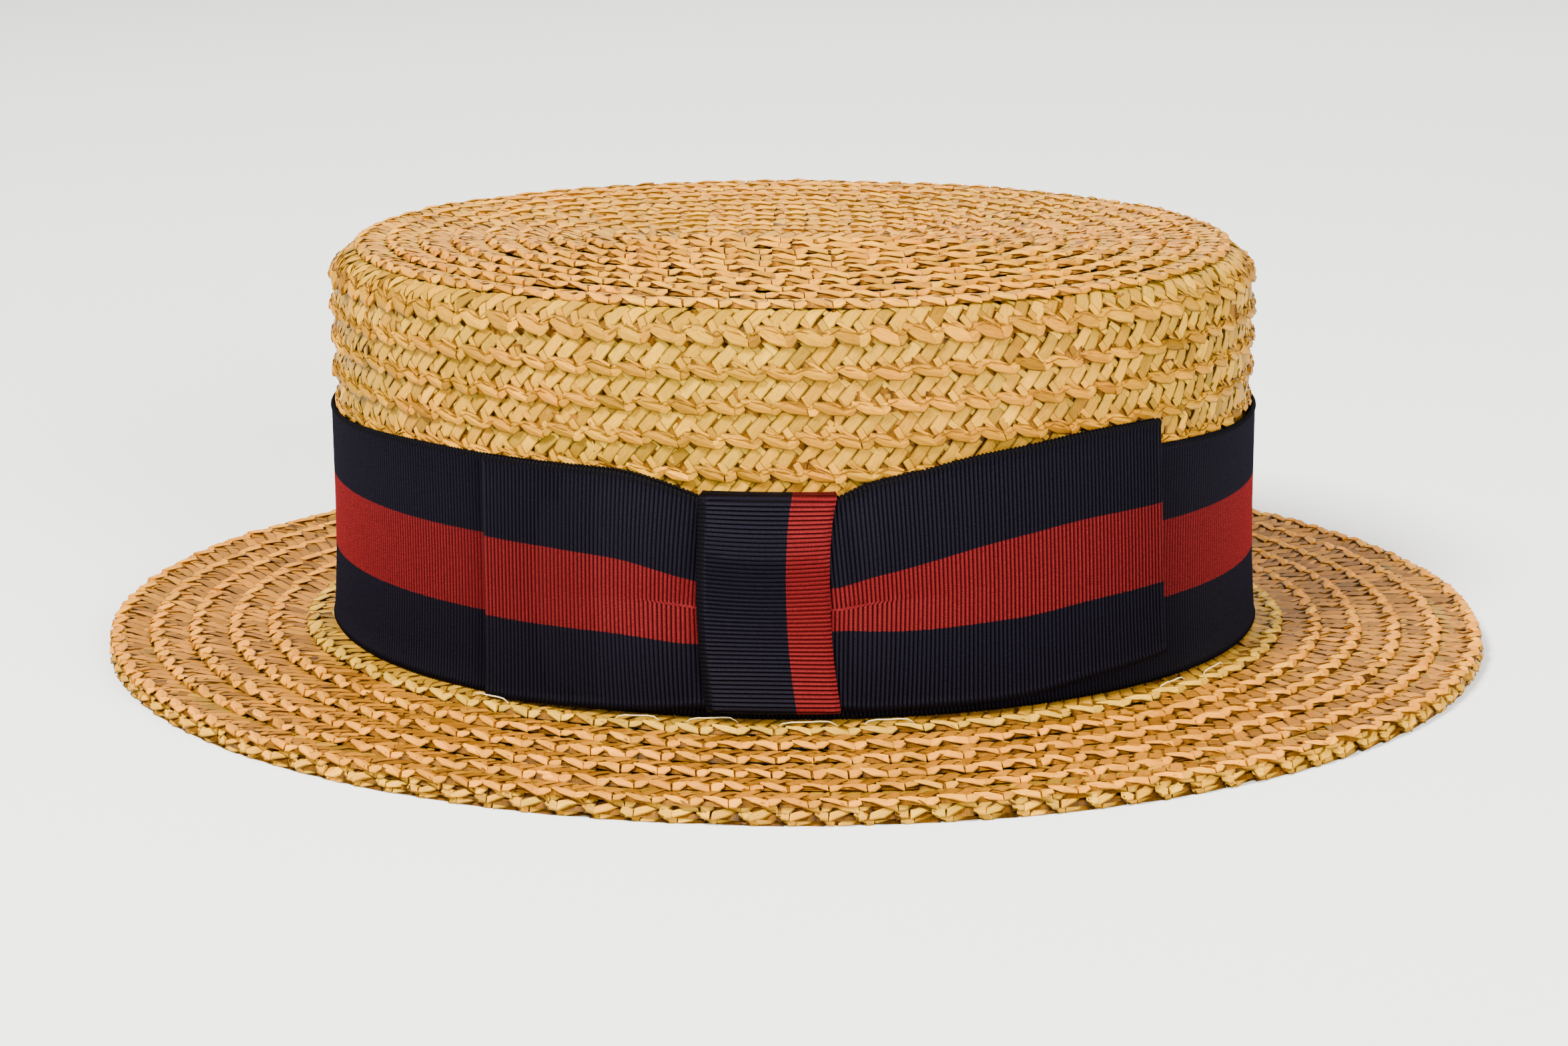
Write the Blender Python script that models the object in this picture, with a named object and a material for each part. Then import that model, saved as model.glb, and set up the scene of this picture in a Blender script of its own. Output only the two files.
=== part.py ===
"""Straw boater hat, modelled at its real size in metres.

The hat lies on its brim on z = 0, +Z up, with its longer axis along X and its bow at -Y.
Every ring of it follows one oval, the outside of the crown, moved out or in by an offset.
A profile point is (offset, z): how far it lies outside that oval, and its height.
"""
import math

import bmesh
import bpy
from mathutils import Vector

# Crown and brim
CROWN_LENGTH = 0.206        # outside the crown's side, front to back
CROWN_WIDTH = 0.170         # outside the crown's side, ear to ear
CROWN_HEIGHT = 0.087        # from the brim's top to the tip's top
SHOULDER_RADIUS = 0.009     # where the tip turns down into the side
TIP_TURN = math.radians(27)  # how far round the shoulder the tip's last row reaches
BRIM_WIDTH = 0.053          # from the crown's side to the brim's edge, all round
ROOT_RISE = 0.0016          # how far the brim sweeps up where it meets the crown
ROOT_REACH = 0.004          # how far out that sweep fades
EDGE_DEPTH = 0.005          # the brim's edge, with the rows sewn under it
EDGE_ROW_WIDTH = 0.0095     # the rows sewn under the brim's edge
EDGE_ROW_STEP = 0.0004      # how far the upper of them stands out past the brim

# Straw plait, sewn in rows whose free edge lies over the next row
PLAIT_THICKNESS = 0.0011    # one ply, and the step from a row's free edge to the next row
STRAW_WALL = 0.0024         # two plies sewn together
TIP_ROW_PITCH = 0.0073
SIDE_ROW_PITCH = 0.0072
BRIM_ROW_PITCH = 0.0088
ROW_OVERLAP = 0.0025        # how much of the side's first row is hidden under the tip
MIDDLE_REACH = 0.036        # the tip's rows out to here follow its middle seam more than the oval
SEAM_SHARE = 0.1            # of that reach, round the seam, which follows it altogether
SEAM_SPREAD = 3             # how soon the rows round the seam leave its ends and run along it

# Ribbon band and bow
RIBBON_WIDTH = 0.0512
RIBBON_THICKNESS = 0.001
STRIPE_LOW = 0.34           # shares of the ribbon's width where the red stripe starts
STRIPE_HIGH = 0.67          # and ends
BAND_FLARE = 0.0012         # how far the ribbon stands out more at its lower edge
BOW_SHIFT = 0.004           # the bow's middle, along the band from the hat's middle
LEFT_LOOP_LENGTH = 0.062    # from the bow's middle to the fold
RIGHT_LOOP_LENGTH = 0.088
KNOT_WIDTH = 0.027
KNOT_CORNER = 0.0008        # radius at which the knot turns over the loops
KNOT_TUCK = 0.5             # how deep its ends are tucked in: between the band, 0, and a loop, 1
LOOP_PUFF = 0.0009          # how far the gathered loops swell beside the knot
PUFF_REACH = 0.010          # where they swell the most, from the knot's edge
CREASE_SHARE = 0.47         # height of the crease between the swellings, of the width
STRIPE_GATHER = 0.09        # how much of the width the pleat at the knot takes off the stripe
GATHER_FADE = 0.6           # share of the loop's length past the knot where the pleat ends

CLEARANCE = 0.0003          # between pieces that touch
OVAL_SEGMENTS = 48
RIBBON_SEGMENTS = 88
RIBBON_STEP = 0.0065        # between two sections of a loop
FOLD_SECTIONS = 3
KNOT_COLUMNS = 4
WALK_STEPS = 64             # steps in which a walk along the oval is added up

# Each loop's outline: share of the way from the knot to the fold, then the lower and upper
# edge above the band's lower edge, both as shares of the ribbon's width
LEFT_LOOP_OUTLINE = (
    (0.00, 0.052, 0.908),
    (0.13, 0.037, 0.951),
    (0.30, 0.025, 0.990),
    (0.56, 0.013, 1.001),
    (1.00, 0.000, 1.008),
)
RIGHT_LOOP_OUTLINE = (
    (0.00, 0.052, 0.908),
    (0.07, 0.045, 0.955),
    (0.17, 0.045, 0.990),
    (0.27, 0.045, 1.025),
    (0.37, 0.045, 1.054),
    (0.54, 0.056, 1.082),
    (0.70, 0.087, 1.107),
    (1.00, 0.125, 1.117),
)
# The knot's side edges: share of its height, left and right edge as shares of its width
KNOT_OUTLINE = (
    (0.00, -0.42, 0.52),
    (0.50, -0.50, 0.45),
    (1.00, -0.52, 0.50),
)

# Sizes worked out from those above
HALF_LENGTH = CROWN_LENGTH / 2
HALF_WIDTH = CROWN_WIDTH / 2
SHORTER_HALF = min(HALF_LENGTH, HALF_WIDTH)
BRIM_TOP = EDGE_DEPTH
TIP_TOP = BRIM_TOP + CROWN_HEIGHT
FLAT_TIP = SHORTER_HALF - SHOULDER_RADIUS
SIDE_START = FLAT_TIP + SHOULDER_RADIUS * TIP_TURN
SHOULDER_END = FLAT_TIP + SHOULDER_RADIUS * math.pi / 2
SHOULDER_TURNS = [TIP_TURN * step / 2 for step in range(3)] + [
    TIP_TURN + (math.pi / 2 - TIP_TURN) * step / 3 for step in (1, 2, 3)]
CROWN_BENDS = [FLAT_TIP + SHOULDER_RADIUS * turn for turn in SHOULDER_TURNS]
BRIM_BENDS = [0, ROOT_REACH / 2, ROOT_REACH * 1.2]
KNOT_REACH = KNOT_WIDTH * max(max(-left, right) for _, left, right in KNOT_OUTLINE) + CLEARANCE


def clear_scene():
    """Remove the objects of the scene that Blender opens with."""
    for obj in list(bpy.data.objects):
        bpy.data.objects.remove(obj, do_unlink=True)


def material(name, colour, roughness):
    """A plain material of the part's own colour."""
    made = bpy.data.materials.new(name)
    made.use_nodes = True
    shader = made.node_tree.nodes["Principled BSDF"]
    shader.inputs["Base Color"].default_value = (*colour, 1)
    shader.inputs["Roughness"].default_value = roughness
    shader.inputs["Metallic"].default_value = 0
    made.diffuse_color = (*colour, 1)
    return made


def ribbon_materials(name):
    """The ribbon's navy and the red of its middle stripe, for one piece."""
    navy = material(name + "_navy", (0.012, 0.014, 0.032), 0.75)
    red = material(name + "_red", (0.38, 0.03, 0.025), 0.7)
    return navy, red


def smooth_step(share):
    """0 to 1 with level ends."""
    held = min(max(share, 0), 1)
    return held * held * (3 - 2 * held)


def table_value(table, share, column):
    """A column of a short table, read between its rows."""
    for low, high in zip(table, table[1:]):
        if share <= high[0]:
            part = (share - low[0]) / (high[0] - low[0])
            return low[column] + (high[column] - low[column]) * max(part, 0)
    return table[-1][column]


def oval_width(angle):
    """Distance from the hat's middle to the crown oval's tangent that faces this angle."""
    return math.hypot(HALF_LENGTH * math.cos(angle), HALF_WIDTH * math.sin(angle))


def oval_radius(angle):
    """Radius of the crown oval's curve where it faces this angle."""
    return (HALF_LENGTH * HALF_WIDTH) ** 2 / oval_width(angle) ** 3


def oval_point(angle, offset):
    """Where the oval moved out by offset faces this angle.

    Near the middle of the tip the rows close round a short straight seam, as sewn ones do.
    """
    cosine = math.cos(angle)
    sine = math.sin(angle)
    width = oval_width(angle)
    x = cosine * (HALF_LENGTH ** 2 / width + offset)
    y = sine * (HALF_WIDTH ** 2 / width + offset)
    from_seam = SHORTER_HALF + offset
    blend = smooth_step(from_seam / MIDDLE_REACH - SEAM_SHARE)
    seam_x = (HALF_LENGTH - SHORTER_HALF) * math.tanh(SEAM_SPREAD * cosine)
    seam_y = (HALF_WIDTH - SHORTER_HALF) * math.tanh(SEAM_SPREAD * sine)
    seam_x += from_seam * cosine
    seam_y += from_seam * sine
    return x * blend + seam_x * (1 - blend), y * blend + seam_y * (1 - blend)


def front_angle(distance):
    """The angle that the oval faces after a walk of this distance from its -Y side's middle."""
    angle = -math.pi / 2
    for _ in range(WALK_STEPS):
        angle += distance / WALK_STEPS / oval_radius(angle)
    return angle


def front_point(distance, offset, z):
    """A point in front of the crown, by its distance along the crown from the -Y side's middle."""
    x, y = oval_point(front_angle(distance), offset)
    return Vector((x, y, z))


def crown_path(walk):
    """Profile point and normal on the crown, walking from the tip's middle out and down."""
    if walk <= FLAT_TIP:
        return (walk - SHORTER_HALF, TIP_TOP), (0, 1)
    turn = min((walk - FLAT_TIP) / SHOULDER_RADIUS, math.pi / 2)
    offset = SHOULDER_RADIUS * (math.sin(turn) - 1)
    z = TIP_TOP - SHOULDER_RADIUS * (1 - math.cos(turn)) - max(walk - SHOULDER_END, 0)
    return (offset, z), (math.sin(turn), math.cos(turn))


def brim_path(offset):
    """Profile point and normal on the brim's top, which sweeps up at the crown."""
    rise = ROOT_RISE * math.exp(-max(offset, 0) / ROOT_REACH)
    return (offset, BRIM_TOP + rise), (0, 1)


def equal_rows(start, end, pitch):
    """Free edges of the rows that fill a length, as near the wanted pitch as fits."""
    count = max(round((end - start) / pitch), 1)
    return [start + (end - start) * index / count for index in range(count + 1)]


def between(start, end, longest):
    """Evenly spaced places from start to end, no further apart than longest."""
    count = max(math.ceil((end - start) / longest - 1e-6), 1)
    return [start + (end - start) * index / count for index in range(count + 1)]


def stops(start, end, bends):
    """Start, end and the bends of the path that lie between them."""
    return [start] + [bend for bend in bends if start < bend < end] + [end]


def moved(place, depth):
    """A profile point moved along its normal."""
    point, normal = place
    return point[0] + normal[0] * depth, point[1] + normal[1] * depth


def row_depth(walk, start, end, drop):
    """How deep a row's face lies under the level of its free edge, which is at its end."""
    return -drop * (end - walk) / (end - start)


def row_face(path, bends, start, end, drop=PLAIT_THICKNESS):
    """Profile of one row, from where it comes out under the row before to its free edge."""
    return [moved(path(walk), row_depth(walk, start, end, drop))
            for walk in stops(start, end, bends)]


def plain_face(path, bends, start, end):
    """Profile of the plain inner face of a wall of rows."""
    return [moved(path(walk), -STRAW_WALL) for walk in stops(start, end, bends)]


def ring_mesh(profile, closed):
    """Sweep a profile round the oval; an open profile is capped at its two inner ends."""
    mesh = bmesh.new()
    rings = []
    for offset, z in profile:
        ring = []
        for segment in range(OVAL_SEGMENTS):
            x, y = oval_point(2 * math.pi * segment / OVAL_SEGMENTS, offset)
            ring.append(mesh.verts.new((x, y, z)))
        rings.append(ring)
    pairs = list(zip(rings, rings[1:]))
    if closed:
        pairs.append((rings[-1], rings[0]))
    for ring, following in pairs:
        for segment in range(OVAL_SEGMENTS):
            nearby = (segment + 1) % OVAL_SEGMENTS
            mesh.faces.new((ring[segment], following[segment], following[nearby], ring[nearby]))
    if not closed:
        mesh.faces.new(rings[0])
        mesh.faces.new(reversed(rings[-1]))
    bmesh.ops.recalc_face_normals(mesh, faces=mesh.faces)
    return mesh


def add_object(name, mesh, materials):
    """Make a named object of a bmesh, smooth but for its sharp edges."""
    data = bpy.data.meshes.new(name)
    mesh.to_mesh(data)
    mesh.free()
    for made in materials:
        data.materials.append(made)
    data.shade_smooth()
    data.set_sharp_from_angle(angle=math.radians(35))
    obj = bpy.data.objects.new(name, data)
    bpy.context.scene.collection.objects.link(obj)
    return obj


def ribbon_piece(name, sections, in_stripe, wraps=False):
    """A piece of ribbon through sections of points, one list each, from low to high.

    in_stripe says whether the face at a column and level is in the red stripe.
    """
    mesh = bmesh.new()
    grid = [[mesh.verts.new(point) for point in section] for section in sections]
    columns = list(zip(grid, grid[1:]))
    if wraps:
        columns.append((grid[-1], grid[0]))
    for column, (near, far) in enumerate(columns):
        for level in range(len(near) - 1):
            face = mesh.faces.new((near[level], far[level], far[level + 1], near[level + 1]))
            face.material_index = int(in_stripe(column, level))
    obj = add_object(name, mesh, ribbon_materials(name))
    thicken(obj)
    return obj


def thicken(obj):
    """Give a ribbon's middle surface its thickness."""
    solid = obj.modifiers.new("Ribbon thickness", "SOLIDIFY")
    solid.thickness = RIBBON_THICKNESS
    solid.offset = 0
    solid.use_even_offset = True


def crown_tip():
    """The flat top: rows of plait from the middle out, the last one turned down.

    Its last row is one ply where it laps over the side's first row.
    """
    edges = equal_rows(0, SIDE_START, TIP_ROW_PITCH)
    middle = edges[1] / 3
    outer = row_face(crown_path, CROWN_BENDS, middle, edges[1])
    for start, end in zip(edges[1:], edges[2:]):
        outer += row_face(crown_path, CROWN_BENDS, start, end)
    lap_start = SIDE_START - ROW_OVERLAP - CLEARANCE
    inner = plain_face(crown_path, CROWN_BENDS, middle, lap_start)
    for walk in stops(lap_start, SIDE_START, CROWN_BENDS):
        depth = row_depth(walk, edges[-2], SIDE_START, PLAIT_THICKNESS) - PLAIT_THICKNESS
        inner.append(moved(crown_path(walk), depth))
    straw = material("tip_straw", (0.60, 0.37, 0.16), 0.5)
    add_object("crown_tip", ring_mesh(outer + inner[::-1], closed=False), [straw])


def crown_side():
    """The side: a wide first row round the shoulder, then level rows down to the brim."""
    root_surface = BRIM_TOP + ROOT_RISE - PLAIT_THICKNESS
    height = TIP_TOP - SHOULDER_RADIUS - root_surface - CLEARANCE
    edges = equal_rows(SHOULDER_END, SHOULDER_END + height, SIDE_ROW_PITCH)
    lapped = SIDE_START - ROW_OVERLAP
    drop = PLAIT_THICKNESS + CLEARANCE
    lap_depth = row_depth(lapped, SIDE_START, SHOULDER_END, drop)
    outer = [moved(crown_path(lapped), lap_depth)]
    outer += row_face(crown_path, CROWN_BENDS, SIDE_START, SHOULDER_END, drop)
    for start, end in zip(edges, edges[1:]):
        outer += row_face(crown_path, CROWN_BENDS, start, end)
    inner = [moved(crown_path(lapped), lap_depth - PLAIT_THICKNESS)]
    inner += plain_face(crown_path, CROWN_BENDS, SIDE_START, edges[-1])
    straw = material("side_straw", (0.64, 0.44, 0.19), 0.5)
    add_object("crown_side", ring_mesh(outer + inner[::-1], closed=True), [straw])


def brim():
    """The brim: rows from under the crown's side out to the edge."""
    edges = equal_rows(0, BRIM_WIDTH, BRIM_ROW_PITCH)
    outer = row_face(brim_path, BRIM_BENDS, -STRAW_WALL, edges[1])
    for start, end in zip(edges[1:], edges[2:]):
        outer += row_face(brim_path, BRIM_BENDS, start, end)
    inner = plain_face(brim_path, BRIM_BENDS, -STRAW_WALL, BRIM_WIDTH)
    straw = material("brim_straw", (0.58, 0.35, 0.14), 0.5)
    add_object("brim", ring_mesh(outer + inner[::-1], closed=True), [straw])


def brim_edge():
    """Two rows sewn under the brim's edge; their flat underside is what the hat rests on."""
    inside = BRIM_WIDTH - EDGE_ROW_WIDTH
    top = BRIM_TOP - STRAW_WALL - CLEARANCE
    middle = top / 2
    profile = [
        (BRIM_WIDTH + EDGE_ROW_STEP, top),
        (BRIM_WIDTH + EDGE_ROW_STEP, middle),
        (BRIM_WIDTH, middle),
        (BRIM_WIDTH, 0),
        (inside - EDGE_ROW_STEP, 0),
        (inside - EDGE_ROW_STEP, middle),
        (inside, middle),
        (inside, top),
    ]
    straw = material("edge_straw", (0.50, 0.36, 0.15), 0.55)
    add_object("brim_edge", ring_mesh(profile, closed=True), [straw])


def band_base():
    """Height of the band's lower edge, just clear of the brim's root."""
    (_, root), _ = brim_path(0)
    return root - PLAIT_THICKNESS + CLEARANCE


def ribbon_offset(layer, z):
    """Offset of a layer's middle: the band is layer 0, and each layer lies over the last."""
    reach = RIBBON_WIDTH / 2
    flare = BAND_FLARE * max(1 - (z - band_base()) / reach, 0) ** 2
    return (layer + 0.5) * RIBBON_THICKNESS + (layer + 1) * CLEARANCE + flare


def share_past_knot(distance, length):
    """0 from the bow's middle to the knot's edge, then up to 1 at the loop's fold."""
    return min(max((distance - KNOT_REACH) / (length - KNOT_REACH), 0), 1)


def edge_height(table, share, column):
    """Height of a loop's lower or upper edge."""
    return band_base() + table_value(table, share, column) * RIBBON_WIDTH


def band_top(distance):
    """The band's upper edge dips under the bow and is level elsewhere."""
    if distance < 0:
        share = share_past_knot(-distance, LEFT_LOOP_LENGTH)
        bow_top = edge_height(LEFT_LOOP_OUTLINE, share, 2)
    else:
        share = share_past_knot(distance, RIGHT_LOOP_LENGTH)
        bow_top = edge_height(RIGHT_LOOP_OUTLINE, share, 2)
    return min(band_base() + RIBBON_WIDTH, bow_top)


def hat_band():
    """The ribbon round the crown, in three equal stripes."""
    sections = []
    for segment in range(RIBBON_SEGMENTS):
        angle = 2 * math.pi * segment / RIBBON_SEGMENTS
        top = band_top(distance_from_bow(angle))
        low = band_base()
        section = []
        for share in (0, STRIPE_LOW, STRIPE_HIGH, 1):
            z = low + (top - low) * share
            x, y = oval_point(angle, ribbon_offset(0, z))
            section.append(Vector((x, y, z)))
        sections.append(section)
    ribbon_piece("hat_band", sections, lambda column, level: level == 1, wraps=True)


def distance_from_bow(angle):
    """How far round the crown, from the bow's middle, the oval faces this angle."""
    turned = (angle + math.pi / 2 + math.pi) % (2 * math.pi) - math.pi
    walked = 0
    for step in range(WALK_STEPS):
        facing = turned * (step + 0.5) / WALK_STEPS - math.pi / 2
        walked += oval_radius(facing) * turned / WALK_STEPS
    return walked - BOW_SHIFT


def loop_levels(share):
    """Where a loop's points lie up its width; the red stripe is gathered in at the knot."""
    gathered = 1 - smooth_step(share / GATHER_FADE)
    high = STRIPE_HIGH - STRIPE_GATHER * gathered
    centre = (STRIPE_LOW + high) / 2
    crease = centre + (CREASE_SHARE - centre) * gathered
    return (0, STRIPE_LOW / 2, STRIPE_LOW, crease, high, (1 + high) / 2, 1)


def puff(level, distance):
    """How far the gathered front leaf swells out between its edges and the crease."""
    lobe = math.sin(math.pi * level / CREASE_SHARE) if level < CREASE_SHARE else (
        math.sin(math.pi * (level - CREASE_SHARE) / (1 - CREASE_SHARE)))
    away = max(distance - KNOT_REACH, 0) / PUFF_REACH
    return LOOP_PUFF * lobe * away * math.exp(1 - away)


def loop_section(table, length, side, distance, layer, front):
    """One section across a loop's width, on its front leaf, fold or back leaf."""
    share = share_past_knot(distance, length)
    low = edge_height(table, share, 1)
    high = edge_height(table, share, 2)
    section = []
    for level in loop_levels(share):
        z = low + (high - low) * level
        offset = ribbon_offset(layer, z)
        if front:
            offset += puff(level, distance)
        section.append(front_point(BOW_SHIFT + side * distance, offset, z))
    return section


def bow_loop(name, table, length, side):
    """A flat loop: a back leaf on the band, a fold at its end and a front leaf over it."""
    fold_radius = (RIBBON_THICKNESS + CLEARANCE) / 2
    straight = length - fold_radius - RIBBON_THICKNESS / 2
    places = between(CLEARANCE, KNOT_REACH, RIBBON_STEP * 2)
    places += between(KNOT_REACH, straight, RIBBON_STEP)[1:]
    sections = [loop_section(table, length, side, place, 1, front=False) for place in places]
    for index in range(1, FOLD_SECTIONS + 1):
        turn = math.pi * index / (FOLD_SECTIONS + 1)
        place = straight + fold_radius * math.sin(turn)
        layer = 1.5 - math.cos(turn) / 2
        sections.append(loop_section(table, length, side, place, layer, front=True))
    for place in reversed(places):
        sections.append(loop_section(table, length, side, place, 2, front=True))
    if side > 0:
        sections.reverse()
    ribbon_piece(name, sections, lambda column, level: level in (2, 3))


def bow_knot():
    """The ribbon wrapped up over the loops' gathered middle, turned in above and below."""
    reach = CLEARANCE + RIBBON_THICKNESS / 2
    low = edge_height(LEFT_LOOP_OUTLINE, 0, 1) - reach
    high = edge_height(LEFT_LOOP_OUTLINE, 0, 2) + reach
    turn_in = KNOT_CORNER * (1 - math.sqrt(0.5))
    front = between(low + KNOT_CORNER, high - KNOT_CORNER, RIBBON_STEP)
    heights = [low, low, low + turn_in] + front + [high - turn_in, high, high]
    insets = [None, KNOT_CORNER, turn_in] + [0] * len(front) + [turn_in, KNOT_CORNER, None]
    sections = []
    for index in range(KNOT_COLUMNS + 1):
        section = []
        for z, inset in zip(heights, insets):
            share = (z - low) / (high - low)
            left = table_value(KNOT_OUTLINE, share, 1)
            right = table_value(KNOT_OUTLINE, share, 2)
            across = (left + (right - left) * index / KNOT_COLUMNS) * KNOT_WIDTH
            if inset is None:
                offset = ribbon_offset(KNOT_TUCK, z)
            else:
                offset = ribbon_offset(3, z) - inset
            section.append(front_point(BOW_SHIFT + across, offset, z))
        sections.append(section)
    ribbon_piece("bow_knot", sections, lambda column, level: column == KNOT_COLUMNS - 1)


def main():
    """Build the hat."""
    clear_scene()
    crown_tip()
    crown_side()
    brim()
    brim_edge()
    hat_band()
    bow_loop("bow_left_loop", LEFT_LOOP_OUTLINE, LEFT_LOOP_LENGTH, -1)
    bow_loop("bow_right_loop", RIGHT_LOOP_OUTLINE, RIGHT_LOOP_LENGTH, 1)
    bow_knot()


main()
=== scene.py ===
"""Straw boater hat: sewn straw plait, striped ribbon band and bow, for its render and meshes."""
import functools
import math

import bmesh
import bpy
import numpy as np
from mathutils import Matrix, Vector


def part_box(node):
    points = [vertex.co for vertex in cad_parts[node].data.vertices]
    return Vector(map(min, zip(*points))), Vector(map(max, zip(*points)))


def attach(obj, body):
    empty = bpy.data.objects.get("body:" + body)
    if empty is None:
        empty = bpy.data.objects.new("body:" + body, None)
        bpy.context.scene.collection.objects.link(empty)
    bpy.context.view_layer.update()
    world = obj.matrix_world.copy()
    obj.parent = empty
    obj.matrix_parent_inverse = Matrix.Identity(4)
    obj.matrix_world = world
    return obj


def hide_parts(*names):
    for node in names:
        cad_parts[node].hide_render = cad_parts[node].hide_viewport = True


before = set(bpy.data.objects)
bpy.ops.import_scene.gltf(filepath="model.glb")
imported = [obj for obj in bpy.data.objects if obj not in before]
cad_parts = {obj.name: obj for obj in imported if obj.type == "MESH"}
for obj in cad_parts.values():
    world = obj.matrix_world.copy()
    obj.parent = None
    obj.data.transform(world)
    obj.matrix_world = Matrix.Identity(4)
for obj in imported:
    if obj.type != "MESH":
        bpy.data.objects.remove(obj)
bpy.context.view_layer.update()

bl_info = {
    "name": "Straw Boater Hat",
    "version": (1, 0, 0),
    "blender": (4, 5, 0),
    "location": "View3D > Sidebar > Hat",
    "description": "Sews a boater hat of straw plait round its frame and ties its ribbon",
    "category": "Object",
}

# Sizes read from the frame
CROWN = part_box("crown_side")
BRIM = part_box("brim")
HALF_LENGTH = CROWN[1][0]
HALF_WIDTH = CROWN[1][1]
TIP_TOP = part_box("crown_tip")[1][2]
STRAW_WALL = 0.0024
BRIM_TOP = BRIM[0][2] + STRAW_WALL
BRIM_WIDTH = BRIM[1][0] - HALF_LENGTH
BAND_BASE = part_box("hat_band")[0][2]

# Shape of the crown and brim; above the band the crown is a little fuller
SHOULDER_RADIUS = 0.009
TIP_TURN = math.radians(27)
FULLER = 0.0004
FULLER_FADE = 0.004
ROOT_RISE = 0.0016
ROOT_REACH = 0.004
MIDDLE_REACH = 0.036
SEAM_SHARE = 0.1
SEAM_SPREAD = 3
OVAL_STEPS = 1440
FLAT_TIP = HALF_WIDTH - SHOULDER_RADIUS
SIDE_START = FLAT_TIP + SHOULDER_RADIUS * TIP_TURN
SHOULDER_END = FLAT_TIP + SHOULDER_RADIUS * math.pi / 2

# Rows of plait: how wide they are, how deep one lies under the next, and how thick they are
PLY = 0.0011
CLEARANCE = 0.0003
TIP_ROW_PITCH = 0.0073
SIDE_ROW_PITCH = 0.0072
BRIM_ROW_PITCH = 0.0088
EDGE_ROW_WIDTH = 0.0095
EDGE_THICKER = 0.75
FLAT_STEP = 0.6
FLAT_DROP = 1.05
SHOULDER_DROP = 1.2
FLOOR_GAP = 0.0002
# A row's length is taken this far up from its free edge
ROW_HOLD = 0.003
# Share of the band's height below which no straw shows
COVERED_SHARE = 0.86

# Rows sewn under the brim's edge: height as a share of the brim's, and how far each stands out
EDGE_ROWS = (
    (0.77, -0.0005),
    (0.50, 0.0004),
    (0.24, -0.0002),
)

# White basting stitches at the foot of the band: start and end along the crown's front, from its
# middle, and how far out each end lies, in millimetres
BASTING = (
    (-61.0, -51.0, 4.2, 5.6),
    (-27.5, -17.9, 5.2, 4.9),
    (-13.0, -2.2, 4.3, 3.6),
    (5.4, 17.9, 5.0, 5.1),
    (22.7, 33.2, 4.1, 5.2),
    (88.2, 96.7, 5.2, 5.4),
    (102.2, 110.3, 5.2, 5.6),
)
BASTING_WIDTH = 0.0003
BASTING_RISE = 0.00045
BASTING_DIP = 0.0012
BASTING_SWAY = 0.0004
BASTING_BEND = 6
BASTING_THINNING = 0.4
BASTING_CUTS = (-0.95, -0.8, -0.5, -0.2, 0.1, 0.4, 0.7, 0.9, 0.97)

# Ribbon band and bow
RIBBON_WIDTH = 0.0512
RIBBON_THICKNESS = 0.001
RIBBON_BODY = 0.6
STRIPE_LOW = 0.34
STRIPE_HIGH = 0.67
BAND_FLARE = 0.0012
BOW_SHIFT = 0.004
LEFT_LOOP_LENGTH = 0.062
RIGHT_LOOP_LENGTH = 0.088
KNOT_WIDTH = 0.027
CREASE_SHARE = 0.47

# Each loop's outline: share of the way from the knot to the fold, then the lower and upper
# edge above the band's lower edge, both as shares of the ribbon's width
LEFT_LOOP_OUTLINE = (
    (0.00, 0.052, 0.908),
    (0.13, 0.037, 0.951),
    (0.30, 0.025, 0.990),
    (0.56, 0.013, 1.001),
    (1.00, 0.000, 1.008),
)
RIGHT_LOOP_OUTLINE = (
    (0.00, 0.052, 0.908),
    (0.07, 0.045, 0.955),
    (0.17, 0.045, 0.990),
    (0.27, 0.045, 1.025),
    (0.37, 0.045, 1.054),
    (0.54, 0.056, 1.082),
    (0.70, 0.087, 1.107),
    (1.00, 0.125, 1.117),
)
# Where the red stripe lies on each loop: share of the way from the knot to the fold, then the
# stripe's lower and upper edge as shares of the loop's height there
LEFT_LOOP_STRIPE = (
    (0.00, 0.302, 0.598),
    (0.35, 0.320, 0.640),
    (1.00, 0.335, 0.669),
)
RIGHT_LOOP_STRIPE = (
    (0.00, 0.375, 0.576),
    (0.26, 0.333, 0.613),
    (0.44, 0.324, 0.645),
    (1.00, 0.305, 0.650),
)
# The knot's side edges: share of its height, left and right edge as shares of its width
KNOT_OUTLINE = (
    (0.00, -0.455, 0.526),
    (0.25, -0.500, 0.474),
    (0.50, -0.522, 0.450),
    (0.80, -0.510, 0.456),
    (0.93, -0.500, 0.478),
    (1.00, -0.496, 0.504),
)
KNOT_STRIPE = 0.688
KNOT_SELVAGE = 0.062
KNOT_LAYER = 3
# How far from its middle the knot covers the loops
KNOT_REACH = KNOT_WIDTH * 0.52 + CLEARANCE
KNOT_TUCK = 0.0026
KNOT_CORNER = 0.0014
KNOT_SAG = 0.0004
SAG_START = 0.6
SAG_TURN = 2.2 * math.pi
KNOT_SWELL = 0.0006
KNOT_SIDE_ROUND = 0.0005
KNOT_RELIEF = 1.2
# Gathers where a loop goes into the knot: how deep and how far they reach along the loop
CREASE_DEPTH = 0.0016
CREASE_START = 0.0025
CREASE_REACH = 0.015
FAN = 0.0019
FAN_REACH = 0.025
FAN_HEALED = 0.3
HEAL_REACH = 0.014
RIGHT_FOLD_LEAN = 0.0024
RIGHT_FOLD_BACK = 0.0012
# At the crown's sides the band's upper edge sinks: how far, and from where along it
SIDE_SINK = 0.0018
SINK_START = 0.075
SINK_REACH = 0.05

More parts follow.
